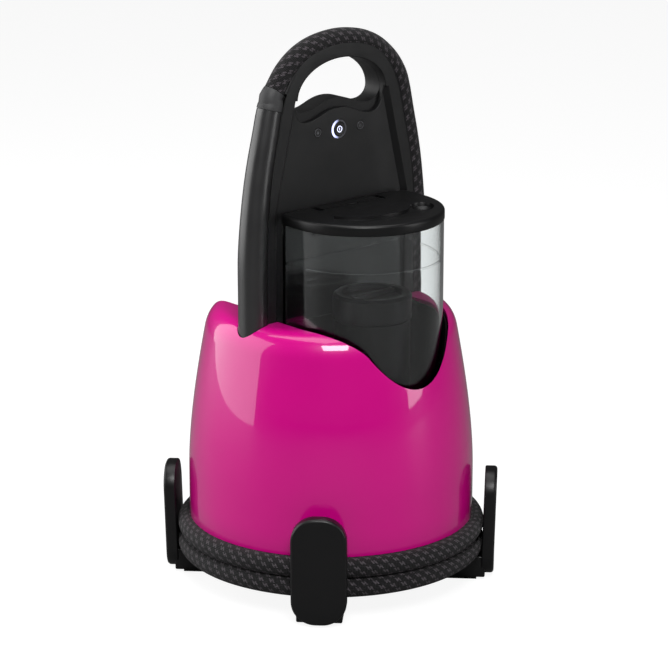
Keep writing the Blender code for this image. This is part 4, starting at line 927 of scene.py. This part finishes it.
def seen_directly(tree):
    """1 for what the camera sees, straight or through the clear tank, and 0 for what only lights the scene."""
    path = add(tree, "ShaderNodeLightPath")
    straight = add(tree, "ShaderNodeMath", {"operation": "LESS_THAN", 1: 0.5}, {0: path.outputs["Glossy Depth"]})
    through = add(tree, "ShaderNodeMath", {"operation": "MULTIPLY"},
                  {0: path.outputs["Is Transmission Ray"], 1: straight.outputs["Value"]})
    either = add(tree, "ShaderNodeMath", {"operation": "MAXIMUM"},
                 {0: path.outputs["Is Camera Ray"], 1: through.outputs["Value"]})
    return either.outputs["Value"]


def make_studio():
    bare()
    bpy.ops.mesh.primitive_plane_add(size=8.0, location=(0, 0, -0.0002))
    floor = bpy.context.object
    floor.name = "studio_floor"
    material, tree, shader = finish("pale_floor", "#767676", 0.7, Emission_Color=(1, 1, 1, 1))
    glow = add(tree, "ShaderNodeMapRange", {"To Min": 0.0, "To Max": 0.90}, {"Value": seen_directly(tree)})
    tree.links.new(glow.outputs["Result"], shader.inputs["Emission Strength"])
    floor.data.materials.append(material)
    world = bpy.data.worlds.new("studio")
    bpy.context.scene.world = world
    world.use_nodes = True
    tree = world.node_tree
    strength = add(tree, "ShaderNodeMapRange", {"To Min": 0.06, "To Max": 1.0}, {"Value": seen_directly(tree)})
    background = tree.nodes["Background"]
    background.inputs["Color"].default_value = (1, 1, 1, 1)
    tree.links.new(strength.outputs["Result"], background.inputs["Strength"])
    softbox("left_softbox", (-0.90, 0.94, 0.50), (1.75, 1.5), 19.0)
    softbox("right_softbox", (0.75, -1.20, 0.55), (0.40, 1.0), 5.0)
    softbox("front_softbox", (-1.1, -1.5, 1.9), (0.9, 0.9), 43.0)
    softbox("top_softbox", (0.0, 0.1, 1.7), (1.3, 1.3), 14.0)


def softbox(name, place_at, size, power):
    bare()
    aim = (Vector((0, 0, 0.18)) - Vector(place_at)).to_track_quat("-Z", "Y").to_euler()
    bpy.ops.object.light_add(type="AREA", location=place_at, rotation=aim)
    light = bpy.context.object
    light.name = name
    light.data.shape = "RECTANGLE"
    light.data.size, light.data.size_y = size
    light.data.energy = power


def dress_inner_parts():
    dress(soft_black, "base_pan", "head_dock", "valve_socket")
    dress(rubber, "foot_pad_front_left", "foot_pad_front_right", "foot_pad_rear_left", "foot_pad_rear_right",
          "mains_gland", "head_heel")
    dress(steel, "boiler", "boiler_bracket", "heating_element", "thermostat", "lid_hinge_pin", "base_screw_1",
          "base_screw_2", "base_screw_3", "base_screw_4")
    dress(brass, "safety_valve", "steam_valve")
    dress(silicone, "suction_tube", "feed_tube", "steam_tube")
    dress(board_green, "control_board", "power_board")
    dress(collar_grey, "water_pump", "drain_cap", "tank_valve", "steam_trigger")


bpy.context.scene.view_settings.view_transform = "Standard"
make_camera()
make_hose()
make_shell()
make_hooks()
make_well()
make_column_front()
make_column_rear()
make_leg()
make_panel()
make_tank()
make_lid()
make_filter()
make_soleplate()
make_head_body()
make_head_handle()
make_boot()
dress_inner_parts()
make_studio()
